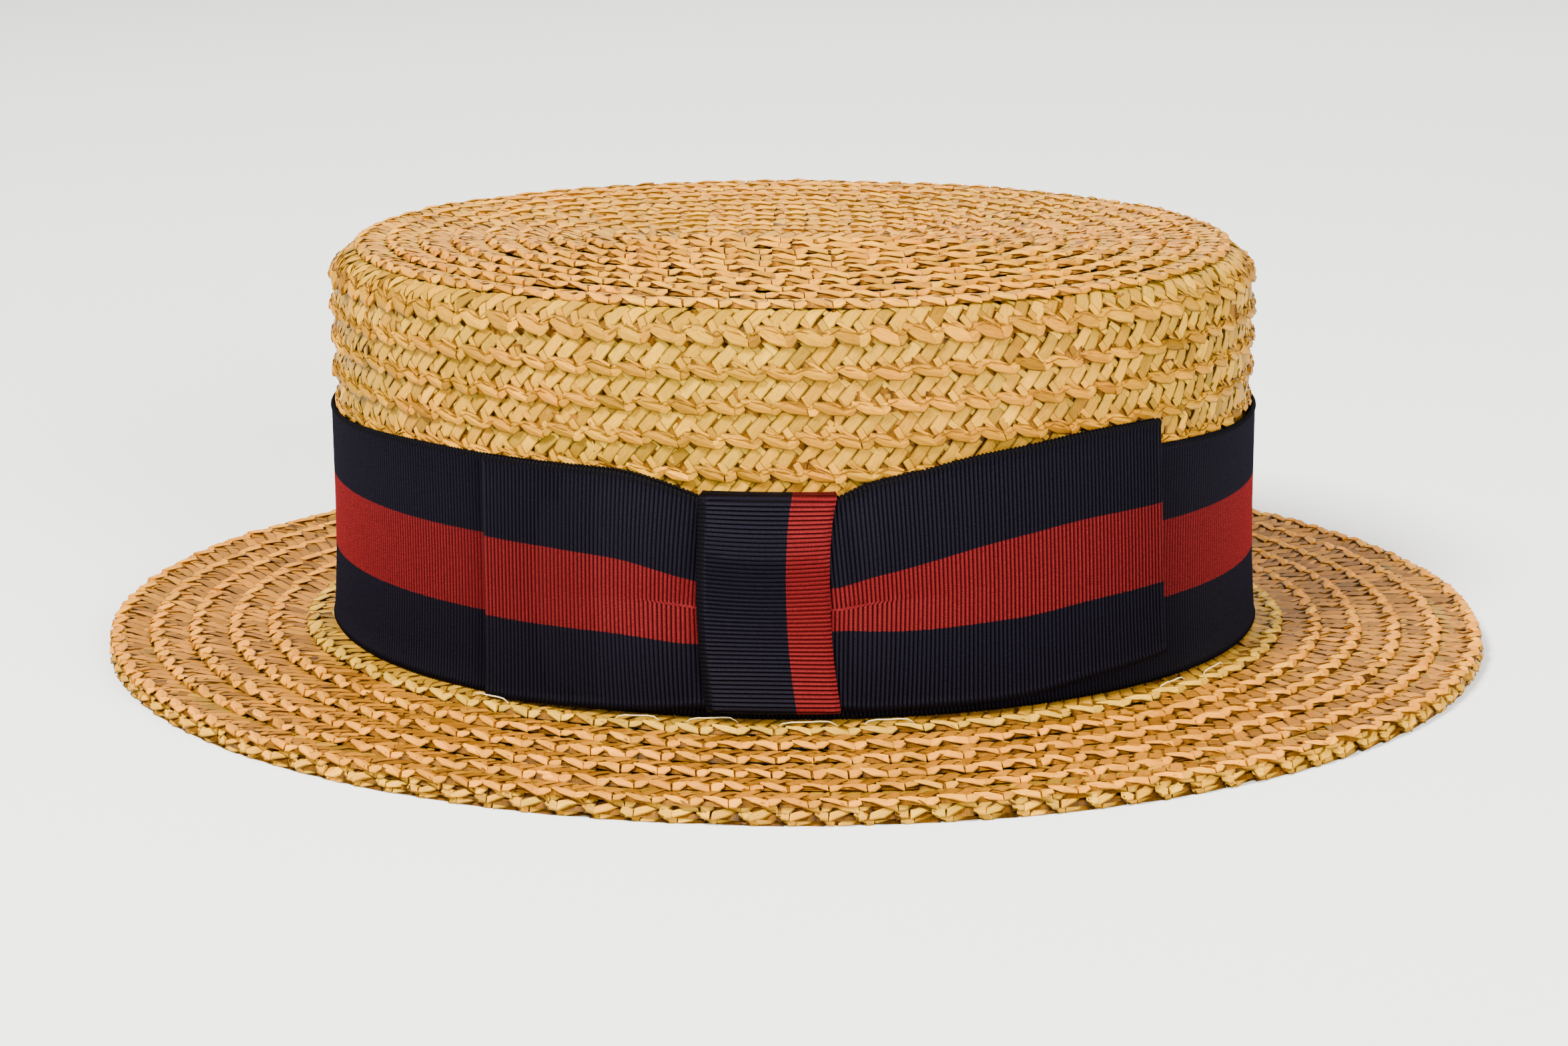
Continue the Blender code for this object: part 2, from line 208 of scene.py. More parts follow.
# Levels up the ribbon's width at which its mesh has points, closer at its edges and crease
BAND_LEVELS = (0.0, 0.010, 0.024, 0.12, 0.30, 0.55, 0.80, 0.976, 0.990, 1.0)
LOOP_LEVELS = (0.0, 0.010, 0.024, 0.05, 0.12, 0.20, 0.29, 0.37, 0.43, 0.458, 0.47, 0.482, 0.51,
               0.57, 0.65, 0.74, 0.83, 0.91, 0.976, 0.990, 1.0)
KNOT_LEVELS = (0.0, 0.014, 0.032, 0.050, 0.062, 0.080, 0.13, 0.20, 0.29, 0.38, 0.47, 0.56, 0.64,
               0.688, 0.74, 0.80, 0.86, 0.91, 0.95, 0.98, 1.0)
OUTERMOST = 0.001
SELVAGE = 0.017
COLUMNS_PER_RIB = 4
COLUMNS_PER_KNOT_RIB = 5
# How far the knot's navy and red keep from the stripe's border in the weave
NAVY_SHARE = 0.98
RED_MARGIN = 0.01
# Points of the band's two ends nearer than this are one
MERGE_DISTANCE = 0.00002
# How sharp the ribs' backs are and where their height is nought, and how the looped edges rise
RIB_SHARPNESS = 1.5
RIB_MIDDLE = 0.7
BEAD_HEIGHT = 0.00026
BEAD_RELIEF = (0.00022, 0.00028)
KNOT_BEAD_RELIEF = (0.0001, 0.00015)
EDGE_SINK = 0.0001

# One repeat of the plait, in millimetres: x along the row, y up from the points of its free
# edge, z out from the row's face. A straw is named, then come its four corners (from its
# lower end round), its height at the ends, how far it arches along and across, how thick it
# is and how far its two long sides bulge.
PLAIT_REPEAT = 7.5
PLAIT_PITCH = 7.3
MILLIMETRE = 0.001
STRAWS = (
    ("core", ((-0.1, 0.9), (7.6, 0.9), (7.6, 5.4), (-0.1, 5.4)), -0.50, 0, 0, 0.1, 0, 0),
    ("core", ((-0.1, 5.0), (7.6, 5.0), (7.6, 9.6), (-0.1, 9.6)), -0.52, 0, 0, 0.1, 0, 0),
    ("main", ((-3.1, 4.3), (-1.2, 1.9), (2.9, 7.2), (0.8, 9.0)), -0.25, 0.32, 0.16, 0.3, 0, 0),
    ("main", ((0.6, 4.3), (2.5, 2.2), (6.5, 7.2), (4.0, 8.7)), -0.25, 0.32, 0.16, 0.3, 0, 0),
    ("upper", ((2.2, 6.0), (3.2, 7.1), (0.6, 9.5), (-0.4, 8.5)), -0.12, 0.1, 0.1, 0.3, 0, 0),
    ("upper", ((6.0, 5.9), (7.0, 6.9), (4.5, 9.2), (3.5, 8.2)), -0.14, 0.1, 0.1, 0.3, 0, 0),
    ("small", ((2.4, 2.5), (3.4, 3.4), (1.5, 5.6), (0.3, 4.6)), -0.04, 0.12, 0.14, 0.4, 0, 0),
    ("small", ((5.4, 1.7), (6.7, 2.8), (5.2, 5.0), (4.0, 4.0)), -0.04, 0.12, 0.14, 0.4, 0, 0),
    ("sliver", ((1.3, 4.3), (1.0, 3.8), (4.7, 1.9), (5.0, 2.4)), 0.14, 0.12, 0.08, 0.4, 0, 0),
    ("leaf", ((5.0, 2.1), (5.6, -0.1), (7.8, 1.2), (7.2, 2.9)), -0.02, 0.16, 0.46, 0.9, 0.4, 0.4),
    ("leaf", ((-0.5, 3.5), (-0.9, 2.3), (5.8, -0.2), (5.4, 1.9)), 0.08, 0.26, 0.56, 0.95, 0.7,
     0.5),
    ("thread", ((-1.3, 2.1), (-1.25, 1.95), (1.2, 2.9), (1.15, 3.05)), 0.6, 0.2, 0.05, 0.16, 0, 0),
    ("thread", ((1.1, 3.05), (1.15, 2.9), (3.95, 2.3), (3.9, 2.45)), 0.6, 0.2, 0.05, 0.16, 0, 0),
    ("thread", ((3.85, 2.45), (3.9, 2.3), (6.3, 1.95), (6.25, 2.1)), 0.6, 0.2, 0.05, 0.16, 0, 0),
)
# The back's two kinds of straw, each of them twice in a repeat
BACK_STRAWS = tuple(
    ("back", tuple((x + shift, y) for x, y in corners), height, -0.25, -0.15, -0.3, 0, 0)
    for height, corners in (
        (-1.2, ((1.2, 2.2), (-1.8, 6.0), (0.4, 7.4), (3.4, 3.6))),
        (-1.15, ((-1.8, 6.2), (1.2, 10), (3.4, 8.6), (0.4, 4.8))),
    )
    for shift in (0, PLAIT_REPEAT / 2))
# On the flat rows the leaves fold over the edge and hold it like teeth
FLAT_STRAWS = tuple(straw for straw in STRAWS if straw[0] in ("core", "main", "upper", "small")) + (
    ("core", ((-0.1, -0.2), (7.6, -0.2), (7.6, 2.4), (-0.1, 2.4)), -0.35, 0, 0, 0.3, 0, 0),
    ("leaf", ((5.2, 1.9), (5.4, -0.3), (7.9, 0.6), (7.3, 2.5)), 0, 0.26, 0.44, 0.9, 0.2, 0.3),
    ("leaf", ((0.1, 3.2), (-0.2, 2.0), (5.2, -0.5), (4.9, 1.9)), 0.1, 0.34, 0.54, 0.9, 0.4, 0.4),
)
# A rolled edge: its radius, how far up the row it starts as a share of that, and its most turn
FLAT_ROLL = 0.0010
EDGE_ROLL = 0.0011
ROLL_ARC = 1.5
ROLL_TURN = 1.8
# A straw's foot is drawn in, and takes its colour nearer the straw's middle
FOOT_SHARE = 0.15
FOOT_PALE = 0.3
POINTS_PER_STRAW = 13
# How unevenly straws are turned, tilted and shifted, and how far rows wave along and up
TURN_SPREAD = 0.05
TILT_SPREAD = 0.075
EDGE_WAVE = 0.00018
LIFT_WAVE = 0.00010
WAVES = 5
WAVE_TURNS = (3, 26)
SHIFT_SHARES = (1, 1, 0.5)

# Each kind of straw: how fresh it is, from tanned at -1 to fresh at 1, and how much darker;
# the leaves' freshness comes from the tone of their row
KINDS = ("core", "main", "upper", "small", "sliver", "leaf", "thread", "back")
KIND_FRESH = (-0.7, 0.3, 0.7, 0.1, -0.3, 0, -0.4, 0.75)
# The core's darkness is painted shade in the gaps under the plait; the thread's is its own brown
KIND_DARKNESS_AND_PAINTED_SHADE = (0.6, 0, 0, 0, 0, 0, 0.45, 0)
FRESH_SPREAD = 0.13
SHADE_SPREAD = 0.2
MOST_SHADE = 1.4
# Tones of a row: how fresh and how light its leaves are, and how fresh and how light the rest
SIDE_TONE = (-0.12, 0.03, 0.0, 0.07)
# On the tip the leaves' extra lightness is painted light on the teeth that face the lamps
TIP_TONE = (0.2, 0.38, -0.2, 0.2)
# On the brim the leaves are painted light and the flat rest painted shade
BRIM_TONE = (0.4, 0.46, -0.45, -0.2)
ROOT_TONE = (0.65, 0.3, 0.4, -0.1)
EDGE_TONE = (0.3, 0.4, 0.0, -0.35)
# Finish of a part's straw: how far the sun has tanned it, how much its fresh straws show, gloss
TIP_FINISH = (0.62, 0.9, 0.06)
SIDE_FINISH = (0.26, 0.66, 0.06)
BRIM_FINISH = (0.95, 0.6, 0.06)
EDGE_FINISH = (0.45, 0.7, 0.08)
BLEMISH_COLOUR = (0.36, 0.17, 0.06, 1)
COTTON_COLOURS = (0.60, 0.48, 0.26, 1), (0.86, 0.74, 0.48, 1)

# The studio's lamps: name, place, size and power; then the paper sheet that the hat rests on
LAMPS = (
    ("key", (-0.65, -0.95, 1.35), 0.5, 98),
    ("fill", (0.9, -1.1, 0.45), 0.8, 36),
    ("back", (0.2, 1.1, 1.1), 1.2, 22),
)
LAMP_AIM = (0, 0, 0.03)
ROOM_LIGHT = 0.8
SHEET_SIZE = 14
SHEET_MIDDLE = -4
SHEET_BACK = SHEET_MIDDLE + SHEET_SIZE / 2
SHEET_RISE = 3.5
SHEET_BEND = 1.2


def length_setting(name, description, default, low, high):
    """A length that can be changed in the panel."""
    return bpy.props.FloatProperty(name=name, description=description, default=default, min=low,
                                   max=high, unit="LENGTH")


def colour_setting(name, description, default):
    """A colour that can be changed in the panel."""
    return bpy.props.FloatVectorProperty(name=name, description=description, default=default,
                                         size=3, min=0, max=1, subtype="COLOR")


def place_setting(name, description, default):
    """A place in the room that can be changed in the panel."""
    return bpy.props.FloatVectorProperty(name=name, description=description, default=default,
                                         size=3, subtype="TRANSLATION", unit="LENGTH")


class BoaterStrawSettings(bpy.types.PropertyGroup):
    """What the straw plait is made of and how evenly it is sewn."""
    repeat: length_setting("Plait repeat", "Length of plait from one point of its edge to the next",
                           PLAIT_REPEAT * MILLIMETRE, 0.004, 0.02)
    unevenness: length_setting("Unevenness", "How far a straw lies from its place in the plait",
                               0.00017, 0, 0.001)
    seed: bpy.props.IntProperty(
        name="Seed", description="Picks another set of uneven straws", default=11)
    tan: colour_setting("Tanned straw", "Colour of straw that has seen the sun",
                        (0.57, 0.222, 0.007))
    gold: colour_setting("Golden straw", "Colour of the plait on the crown's side",
                         (0.50, 0.252, 0.004))
    fresh: colour_setting("Fresh straw", "Colour of straw that lay in the shade",
                          (0.55, 0.385, 0.030))


class BoaterRibbonSettings(bpy.types.PropertyGroup):
    """The ribbon's weave and colours."""
    rib_pitch: length_setting("Rib pitch", "From one rib of the weave to the next",
                              0.0009, 0.0003, 0.004)
    rib_relief: length_setting("Rib relief", "How far the ribs stand out", 0.0002, 0, 0.001)
    # The plain colours are painted shade between the ribs, the rib colours painted highlight
    navy: colour_setting("Navy", "Colour between the ribs of the outer stripes",
                         (0.0006, 0.0005, 0.0015))
    navy_lit: colour_setting("Navy ribs", "Colour of the ribs' backs in the outer stripes",
                             (0.0048, 0.0045, 0.0105))
    red: colour_setting("Red", "Colour between the ribs of the middle stripe",
                        (0.018, 0.0008, 0.0012))
    red_lit: colour_setting("Red ribs", "Colour of the ribs' backs in the middle stripe",
                            (0.118, 0.0070, 0.0096))


class BoaterStageSettings(bpy.types.PropertyGroup):
    """Where the camera stands and how the room is lit."""
    camera_place: place_setting("Camera", "Where the camera stands", (0.0786, -0.7649, 0.2234))
    camera_aim: place_setting("Aim", "What the camera looks at", (-0.00184, -0.00019, 0.02473))
    camera_roll: bpy.props.FloatProperty(
        name="Roll", description="How far the camera is turned about its aim",
        default=-0.0068, subtype="ANGLE")
    lens: bpy.props.FloatProperty(
        name="Lens", description="Focal length on a 36 mm frame", default=79.58, min=10, max=300)
    light: colour_setting("Light", "Colour of the studio's light", (1.0, 0.91, 0.74))
    paper: colour_setting("Paper", "Colour of the backdrop, as cool as the light is warm",
                          (0.775, 0.85, 1.0))


def smooth_step(share):
    """0 to 1 with level ends."""
    held = np.clip(share, 0, 1)
    return held * held * (3 - 2 * held)


def table_value(table, share, column):
    """A column of a short table, read smoothly between its rows."""
    rows = np.array(table)
    places = rows[:, 0]
    values = rows[:, column]
    slopes = np.gradient(values, places)
    held = np.clip(share, places[0], places[-1])
    row = np.clip(np.searchsorted(places, held, side="right") - 1, 0, len(places) - 2)
    gap = places[row + 1] - places[row]
    part = (held - places[row]) / gap
    from_first = values[row] * (1 + 2 * part) + slopes[row] * gap * part
    from_last = values[row + 1] * (3 - 2 * part) - slopes[row + 1] * gap * (1 - part)
    return from_first * (1 - part) ** 2 + from_last * part ** 2


def oval_points(angle, offset):
    """Where the crown's oval, moved out by offset, faces each angle.

    Near the middle of the tip the rows close round a short straight seam.
    """
    cosine = np.cos(angle)
    sine = np.sin(angle)
    width = np.hypot(HALF_LENGTH * cosine, HALF_WIDTH * sine)
    x = cosine * (HALF_LENGTH ** 2 / width + offset)
    y = sine * (HALF_WIDTH ** 2 / width + offset)
    from_seam = HALF_WIDTH + offset
    blend = smooth_step(from_seam / MIDDLE_REACH - SEAM_SHARE)
    seam_x = (HALF_LENGTH - HALF_WIDTH) * np.tanh(SEAM_SPREAD * cosine) + from_seam * cosine
    seam_y = from_seam * sine
    return x * blend + seam_x * (1 - blend), y * blend + seam_y * (1 - blend)


def oval_walk(offset):
    """Angles round the oval from its front, and the length walked to each of them."""
    angles = np.linspace(-math.pi / 2, math.pi * 3 / 2, OVAL_STEPS + 1)
    x, y = oval_points(angles, offset)
    steps = np.hypot(np.diff(x), np.diff(y))
    return angles, np.concatenate([[0], np.cumsum(steps)])


def crown_path(walk):
    """Profile points and normals on the crown, walking from the tip's middle out and down."""
    walk = np.maximum(walk, 0)
    turn = np.clip((walk - FLAT_TIP) / SHOULDER_RADIUS, 0, math.pi / 2)
    offset = SHOULDER_RADIUS * (np.sin(turn) - 1) + np.minimum(walk - FLAT_TIP, 0)
    z = TIP_TOP - SHOULDER_RADIUS * (1 - np.cos(turn)) - np.maximum(walk - SHOULDER_END, 0)
    above_band = smooth_step((z - BAND_BASE - RIBBON_WIDTH) / FULLER_FADE)
    return offset + FULLER * above_band * np.sin(turn), z, np.sin(turn), np.cos(turn)


def brim_path(walk):
    """Profile points and normals on the brim's top, which sweeps up at the crown."""
    rise = ROOT_RISE * np.exp(-np.maximum(walk, 0) / ROOT_REACH)
    return walk, BRIM_TOP + rise, np.zeros_like(walk), np.ones_like(walk)


def level_path(height, walk):
    """Profile points and normals of a flat row at one height."""
    return walk, np.full_like(walk, height), np.zeros_like(walk), np.ones_like(walk)


def equal_rows(start, end, pitch):
    """Free edges of the rows that fill a length, as near the wanted pitch as fits."""
    count = max(round((end - start) / pitch), 1)
    return [start + (end - start) * index / count for index in range(count + 1)]


def deselect_all():
    """Leave edit mode and select nothing."""
    if bpy.context.object and bpy.context.object.mode != "OBJECT":
        bpy.ops.object.mode_set(mode="OBJECT")
    bpy.ops.object.select_all(action="DESELECT")


def activate(obj):
    """Select one object alone."""
    deselect_all()
    obj.select_set(True)
    bpy.context.view_layer.objects.active = obj


def edit_all(obj):
    """Enter edit mode with the whole mesh selected."""
    activate(obj)
    bpy.ops.object.mode_set(mode="EDIT")
    bpy.ops.mesh.select_all(action="SELECT")


def copy_of(obj):
    """A copy of an object with its own mesh."""
    activate(obj)
    bpy.ops.object.duplicate(linked=False)
    return bpy.context.object


def apply_modifier(obj, modifier):
    """Make a modifier's result the object's own mesh."""
    activate(obj)
    bpy.ops.object.modifier_apply(modifier=modifier.name)


def join_objects(objects, name):
    """Join objects into the first of them and name it."""
    activate(objects[0])
    for obj in objects[1:]:
        obj.select_set(True)
    if len(objects) > 1:
        bpy.ops.object.join()
    joined = bpy.context.view_layer.objects.active
    joined.name = name
    joined.data.name = name
    return joined


def points_of(mesh):
    """A mesh's points as an array."""
    flat = np.empty(len(mesh.vertices) * 3)
    mesh.vertices.foreach_get("co", flat)
    return flat.reshape(-1, 3)


def set_points(mesh, points):
    """Move a mesh's points to those of an array."""
    mesh.vertices.foreach_set("co", points.ravel())
    mesh.update()


def read_attribute(mesh, name, size):
    """A vector attribute of a mesh's points as an array."""
    flat = np.empty(len(mesh.vertices) * size)
    mesh.attributes[name].data.foreach_get("vector", flat)
    return flat.reshape(-1, size)

def lay_points(mesh, angle, offset, z):
    """Put a mesh's points where the oval, moved out by offset, faces each angle."""
    x, y = oval_points(angle, offset)
    set_points(mesh, np.column_stack([x, y, z]))


def write_attribute(mesh, name, values):
    """Store a vector for each point of a mesh."""
    if name in mesh.attributes:
        mesh.attributes.remove(mesh.attributes[name])
    made = mesh.attributes.new(name, "FLOAT_VECTOR", "POINT")
    made.data.foreach_set("vector", values.ravel())


def straw_point(straw, along, across, foot):
    """Where a point of a straw lies; along and across run from -1 to 1 on its face."""
    _, corners, height, arch, dome, thickness, low_bulge, high_bulge = straw
    corner = [Vector(place) for place in corners]
    near = corner[0].lerp(corner[1], (across + 1) / 2)
    far = corner[3].lerp(corner[2], (across + 1) / 2)
    place = near.lerp(far, (along + 1) / 2)
    lengthwise = (corner[3] + corner[2] - corner[0] - corner[1]).normalized()
    sideways = Vector((lengthwise.y, -lengthwise.x))
    if corner[1].xy.dot(sideways) < corner[0].xy.dot(sideways):
        sideways = -sideways
    bulge = high_bulge if across > 0 else low_bulge
    place += sideways * bulge * across * (1 - along * along)
    if foot:
        place = place.lerp(sum(corner, Vector((0, 0))) / 4, FOOT_SHARE)
    z = height + arch * (1 - along * along) + dome * (1 - across * across)
    if foot:
        z = height - thickness
    return Vector((place.x, place.y, z)) * MILLIMETRE


def model_straw(straw):
    """Shape one flat straw of the plait from a cube: its top is cut in four and arched."""
    deselect_all()
    bpy.ops.mesh.primitive_cube_add(size=2)
    obj = bpy.context.object
    bpy.ops.object.mode_set(mode="EDIT")
    bpy.ops.mesh.select_all(action="DESELECT")
    mesh = bmesh.from_edit_mesh(obj.data)
    for face in mesh.faces:
        face.select = face.normal.z > 0.5
    bmesh.update_edit_mesh(obj.data)
    bpy.ops.mesh.subdivide(number_cuts=1)
    bpy.ops.object.mode_set(mode="OBJECT")
    cube = points_of(obj.data)
    shaped = [straw_point(straw, y, x, foot=z < 0) for x, y, z in cube]
    set_points(obj.data, np.array(shaped))
    corner = [Vector(place) for place in straw[1]]
    length = ((corner[3] + corner[2] - corner[0] - corner[1]) / 2).length
    across = cube[:, 0] * np.where(cube[:, 2] < 0, FOOT_PALE, 1)
    kind = np.full(len(cube), KINDS.index(straw[0]))
    run = np.column_stack([cube[:, 1] * length / 2, across, kind])
    write_attribute(obj.data, "straw_run", run)
    return obj


def mirrored(straw):
    """The same straw in a plait that runs the other way."""
    name, corners, height, arch, dome, thickness, low_bulge, high_bulge = straw
    turned = [(PLAIT_REPEAT - x, y) for x, y in corners]
    order = (turned[1], turned[0], turned[3], turned[2])
    return (name, order, height, arch, dome, thickness, high_bulge, low_bulge)


def model_repeat(straws, name):
    """One repeat of the plait."""
    return join_objects([model_straw(straw) for straw in straws], name)


def straws_of(straws, *kinds):
    """The straws of some kinds."""
    return [straw for straw in straws if straw[0] in kinds]


def plait_strip(repeat, count):
    """A straight strip of plait of so many repeats, with its own mesh."""
    strip = copy_of(repeat)
    array = strip.modifiers.new("Repeats", "ARRAY")
    array.use_relative_offset = False
    array.use_constant_offset = True
    array.constant_offset_displace = (PLAIT_REPEAT * MILLIMETRE, 0, 0)
    array.count = count
    apply_modifier(strip, array)
    return strip


def uneven_straws(points, chance, amount):
    """Shift, turn and tilt each straw of a strip a little."""
    straws = points.reshape(-1, POINTS_PER_STRAW, 3)
    count = len(straws)
    middle = straws.mean(axis=1, keepdims=True)
    turn = chance.normal(0, TURN_SPREAD, count)[:, None]
    local = straws - middle
    turned_x = local[:, :, 0] * np.cos(turn) - local[:, :, 1] * np.sin(turn)
    turned_y = local[:, :, 0] * np.sin(turn) + local[:, :, 1] * np.cos(turn)
    tilt = chance.normal(0, TILT_SPREAD, (count, 2))
    lift = local[:, :, 0] * tilt[:, :1] + local[:, :, 1] * tilt[:, 1:]
    shift = chance.normal(0, amount, (count, 1, 3)) * SHIFT_SHARES
    moved = np.stack([turned_x, turned_y, local[:, :, 2] + lift], axis=2) + middle + shift
    return moved.reshape(-1, 3)


def slow_waves(along, length, chance):
    """A gentle uneven wave round a row, about -1 to 1."""
    total = np.zeros_like(along)
    for _ in range(WAVES):
        turns = chance.integers(*WAVE_TURNS)
        phase = chance.uniform(0, 2 * math.pi)
        total += np.sin(2 * math.pi * turns * along / length + phase)
    return total / math.sqrt(WAVES)


def lay_row(repeat, path, start, end, drop, chance, thicker=1.0, tone=SIDE_TONE, roll=0.0):
    """Bend a strip of plait round one row of the hat, its free edge at the row's end.

    With a roll, the free edge is bent down round that radius.
    """
    settings = bpy.context.scene.boater_straw
    reference, _, _, _ = path(np.array([end - ROW_HOLD]))
    angles, walked = oval_walk(reference[0])
    around = walked[-1]
    count = max(round(around / settings.repeat), 3)
    strip = plait_strip(repeat, count)
    strip_length = count * PLAIT_REPEAT * MILLIMETRE
    points = uneven_straws(points_of(strip.data), chance, settings.unevenness)
    along = (points[:, 0] / strip_length + chance.uniform(0, 1)) % 1 * around
    edge_wave = slow_waves(along, around, chance) * EDGE_WAVE
    lift_wave = slow_waves(along, around, chance) * LIFT_WAVE
    wider = (end - start) / (PLAIT_PITCH * MILLIMETRE)
    up = points[:, 1] * wider + edge_wave
    arc = roll * ROLL_ARC
    bend = np.clip((arc - up) / roll, 0, ROLL_TURN) if roll else np.zeros_like(up)
    offset, z, normal_out, normal_up = path(end - np.maximum(up, arc) + arc - roll)
    depth = points[:, 2] * thicker + lift_wave - drop * up / (end - start)
    ahead = (roll + depth) * np.sin(bend)
    above = (roll + depth) * np.cos(bend) - roll
    lay_points(strip.data, np.interp(along, walked, angles),
               offset + normal_up * ahead + normal_out * above,
               z - normal_out * ahead + normal_up * above)
    colour_straws(strip.data, chance, tone)
    return strip


def sew_flat_rows(path, edges, tones, chance):
    """Rows of plait with folded leaves, between free edges from the inmost out."""
    repeat = model_repeat(FLAT_STRAWS + BACK_STRAWS, "flat repeat")
    rows = [lay_row(repeat, path, start, end, PLY * FLAT_DROP, chance, FLAT_STEP, tone, FLAT_ROLL)
            for start, end, tone in zip(edges, edges[1:], tones)]
    remove_objects([repeat])
    return rows


def colour_straws(mesh, chance, tone):
    """Give each straw its own shade: tint, how fresh it is, and where its grain lies.

    A tone holds the freshness and lightness of the edge's leaves, then those of the rest.
    """
    run = read_attribute(mesh, "straw_run", 3)
    kinds = np.rint(run[::POINTS_PER_STRAW, 2]).astype(int)
    count = len(kinds)
    leaf_fresh, leaf_lightness_and_painted_light, more_fresh, rest_lightness_and_painted_light = tone
    leaves = kinds == KINDS.index("leaf")
    fresh = np.where(leaves, leaf_fresh, np.array(KIND_FRESH)[kinds])
    fresh = np.clip(fresh + more_fresh + chance.normal(0, FRESH_SPREAD, count), -1, 1)
    # Painted light on the tip's and brim's leaves, painted shade on the brim's flat rest
    light = np.where(leaves, leaf_lightness_and_painted_light, rest_lightness_and_painted_light)
    shade = np.clip(0.5 + light + chance.normal(0, SHADE_SPREAD, count), 0, MOST_SHADE)
    look = np.column_stack([shade, fresh, np.array(KIND_DARKNESS_AND_PAINTED_SHADE)[kinds]])
    write_attribute(mesh, "straw_look", np.repeat(look, POINTS_PER_STRAW, axis=0))
    run[:, 2] = np.repeat(chance.uniform(0, 100, count), POINTS_PER_STRAW)
    write_attribute(mesh, "straw_run", run)


def finish_piece(piece, made, nodes, smooth_degrees):
    """Give a piece its material, and say what it stands for."""
    piece.data.materials.clear()
    piece.data.materials.append(made)
    activate(piece)
    bpy.ops.object.shade_smooth_by_angle(angle=math.radians(smooth_degrees))
    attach(piece, "root")
    if nodes:
        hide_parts(*nodes)


def finish_straw(strips, name, nodes, made):
    """Join rows of plait into a piece of the hat."""
    finish_piece(join_objects(strips, name), made, nodes, smooth_degrees=40)


def remove_objects(objects):
    """Delete helpers that aren't part of the hat."""
    for obj in objects:
        bpy.data.objects.remove(obj, do_unlink=True)


class Shading:
    """Adds nodes to a material or a node group, and joins them."""

    def __init__(self, tree):
        self.tree = tree

    def add(self, kind, values=None, **options):
        """A node, with its options set and its inputs given as numbers or other outputs."""
        node = self.tree.nodes.new(kind)
        for option, value in options.items():
            setattr(node, option, value)
        for socket, value in (values or {}).items():
            self.feed(node.inputs[socket], value)
        return node

    def feed(self, socket, value):
        """Give an input a number, a colour or another node's output."""
        if isinstance(value, bpy.types.NodeSocket):
            self.tree.links.new(value, socket)
        else:
            socket.default_value = value

    def maths(self, operation, *values):
        """The result of a sum on one to three values."""
        return self.add("ShaderNodeMath", dict(enumerate(values)), operation=operation).outputs[0]

    def spread(self, value, low, high, to_low=0.0, to_high=1.0):
        """A value's range stretched smoothly to another range."""
        values = dict(enumerate((value, low, high, to_low, to_high)))
        node = self.add("ShaderNodeMapRange", values, interpolation_type="SMOOTHSTEP")
        return node.outputs["Result"]

    def blend(self, share, first, second):
        """Two colours mixed by a share."""
        values = {0: share, 6: first, 7: second}
        return self.add("ShaderNodeMix", values, data_type="RGBA").outputs[2]

    def scaled(self, colour, amount):
        """A colour made lighter or darker."""
        values = {0: colour, "Scale": amount}
        return self.add("ShaderNodeVectorMath", values, operation="SCALE").outputs[0]

    def noise(self, vector, scale, detail=2.0, roughness=0.5):
        """Soft noise about 0.5."""
        values = {"Vector": vector, "Scale": scale, "Detail": detail, "Roughness": roughness}
        return self.add("ShaderNodeTexNoise", values).outputs["Fac"]

    def place(self):
        """Where a point lies on its object."""
        return self.add("ShaderNodeTexCoord").outputs["Object"]

    def stored(self, name):
        """A vector stored with the mesh."""
        return self.add("ShaderNodeAttribute", attribute_name=name).outputs["Vector"]

    def parts(self, vector):
        """The three numbers of a vector."""
        return self.add("ShaderNodeSeparateXYZ", {"Vector": vector}).outputs

    def vector(self, *parts):
        """A vector from its numbers."""
        return self.add("ShaderNodeCombineXYZ", dict(enumerate(parts))).outputs[0]

    def group(self, tree, **values):
        """The outputs of a node group."""
        return self.add("ShaderNodeGroup", values, node_tree=tree).outputs

    def surface(self, colour, roughness, height, strength, distance, gloss=0.5):
        """Give the material's own shader its colour, roughness and relief."""
        inputs = self.tree.nodes["Principled BSDF"].inputs
        self.feed(inputs["Base Color"], colour)
        self.feed(inputs["Roughness"], roughness)
        inputs["Specular IOR Level"].default_value = gloss
        values = {"Strength": strength, "Distance": distance, "Height": height}
        self.feed(inputs["Normal"], self.add("ShaderNodeBump", values).outputs[0])


def new_material(name):
    """A material and its shading."""
    made = bpy.data.materials.new(name)
    made.use_nodes = True
    return made, Shading(made.node_tree)


def new_group(name, inputs, outputs):
    """An empty shader node group; returns its shading, its inputs and its output node."""
    tree = bpy.data.node_groups.new(name, "ShaderNodeTree")
    for socket, kind in inputs.items():
        tree.interface.new_socket(socket, in_out="INPUT", socket_type=kind)
    for socket in outputs:
        tree.interface.new_socket(socket, in_out="OUTPUT", socket_type="NodeSocketFloat")
    shading = Shading(tree)
    return shading, shading.add("NodeGroupInput").outputs, shading.add("NodeGroupOutput")


def straw_grain_group():
    """Fibres along a straw, blemishes across it, and the height of both."""
    shading, given, result = new_group(
        "straw_grain", {"Run": "NodeSocketVector", "Fibre": "NodeSocketFloat"},
        ("Streak", "Blemish", "Height"))
    along, across, straw = shading.parts(given["Run"])
    drawn_out = shading.vector(shading.maths("MULTIPLY", along, 0.22),
                               shading.maths("MULTIPLY", across, 7.0), straw)
    streak = shading.noise(drawn_out, scale=2.1, detail=4.0, roughness=0.7)
    spot = shading.vector(shading.maths("MULTIPLY", along, 0.9), across, straw)
    shading.feed(result.inputs["Streak"], streak)
    shading.feed(result.inputs["Blemish"], shading.noise(spot, scale=0.8))
    shading.feed(result.inputs["Height"], shading.maths("MULTIPLY", streak, given["Fibre"]))
    return shading.tree


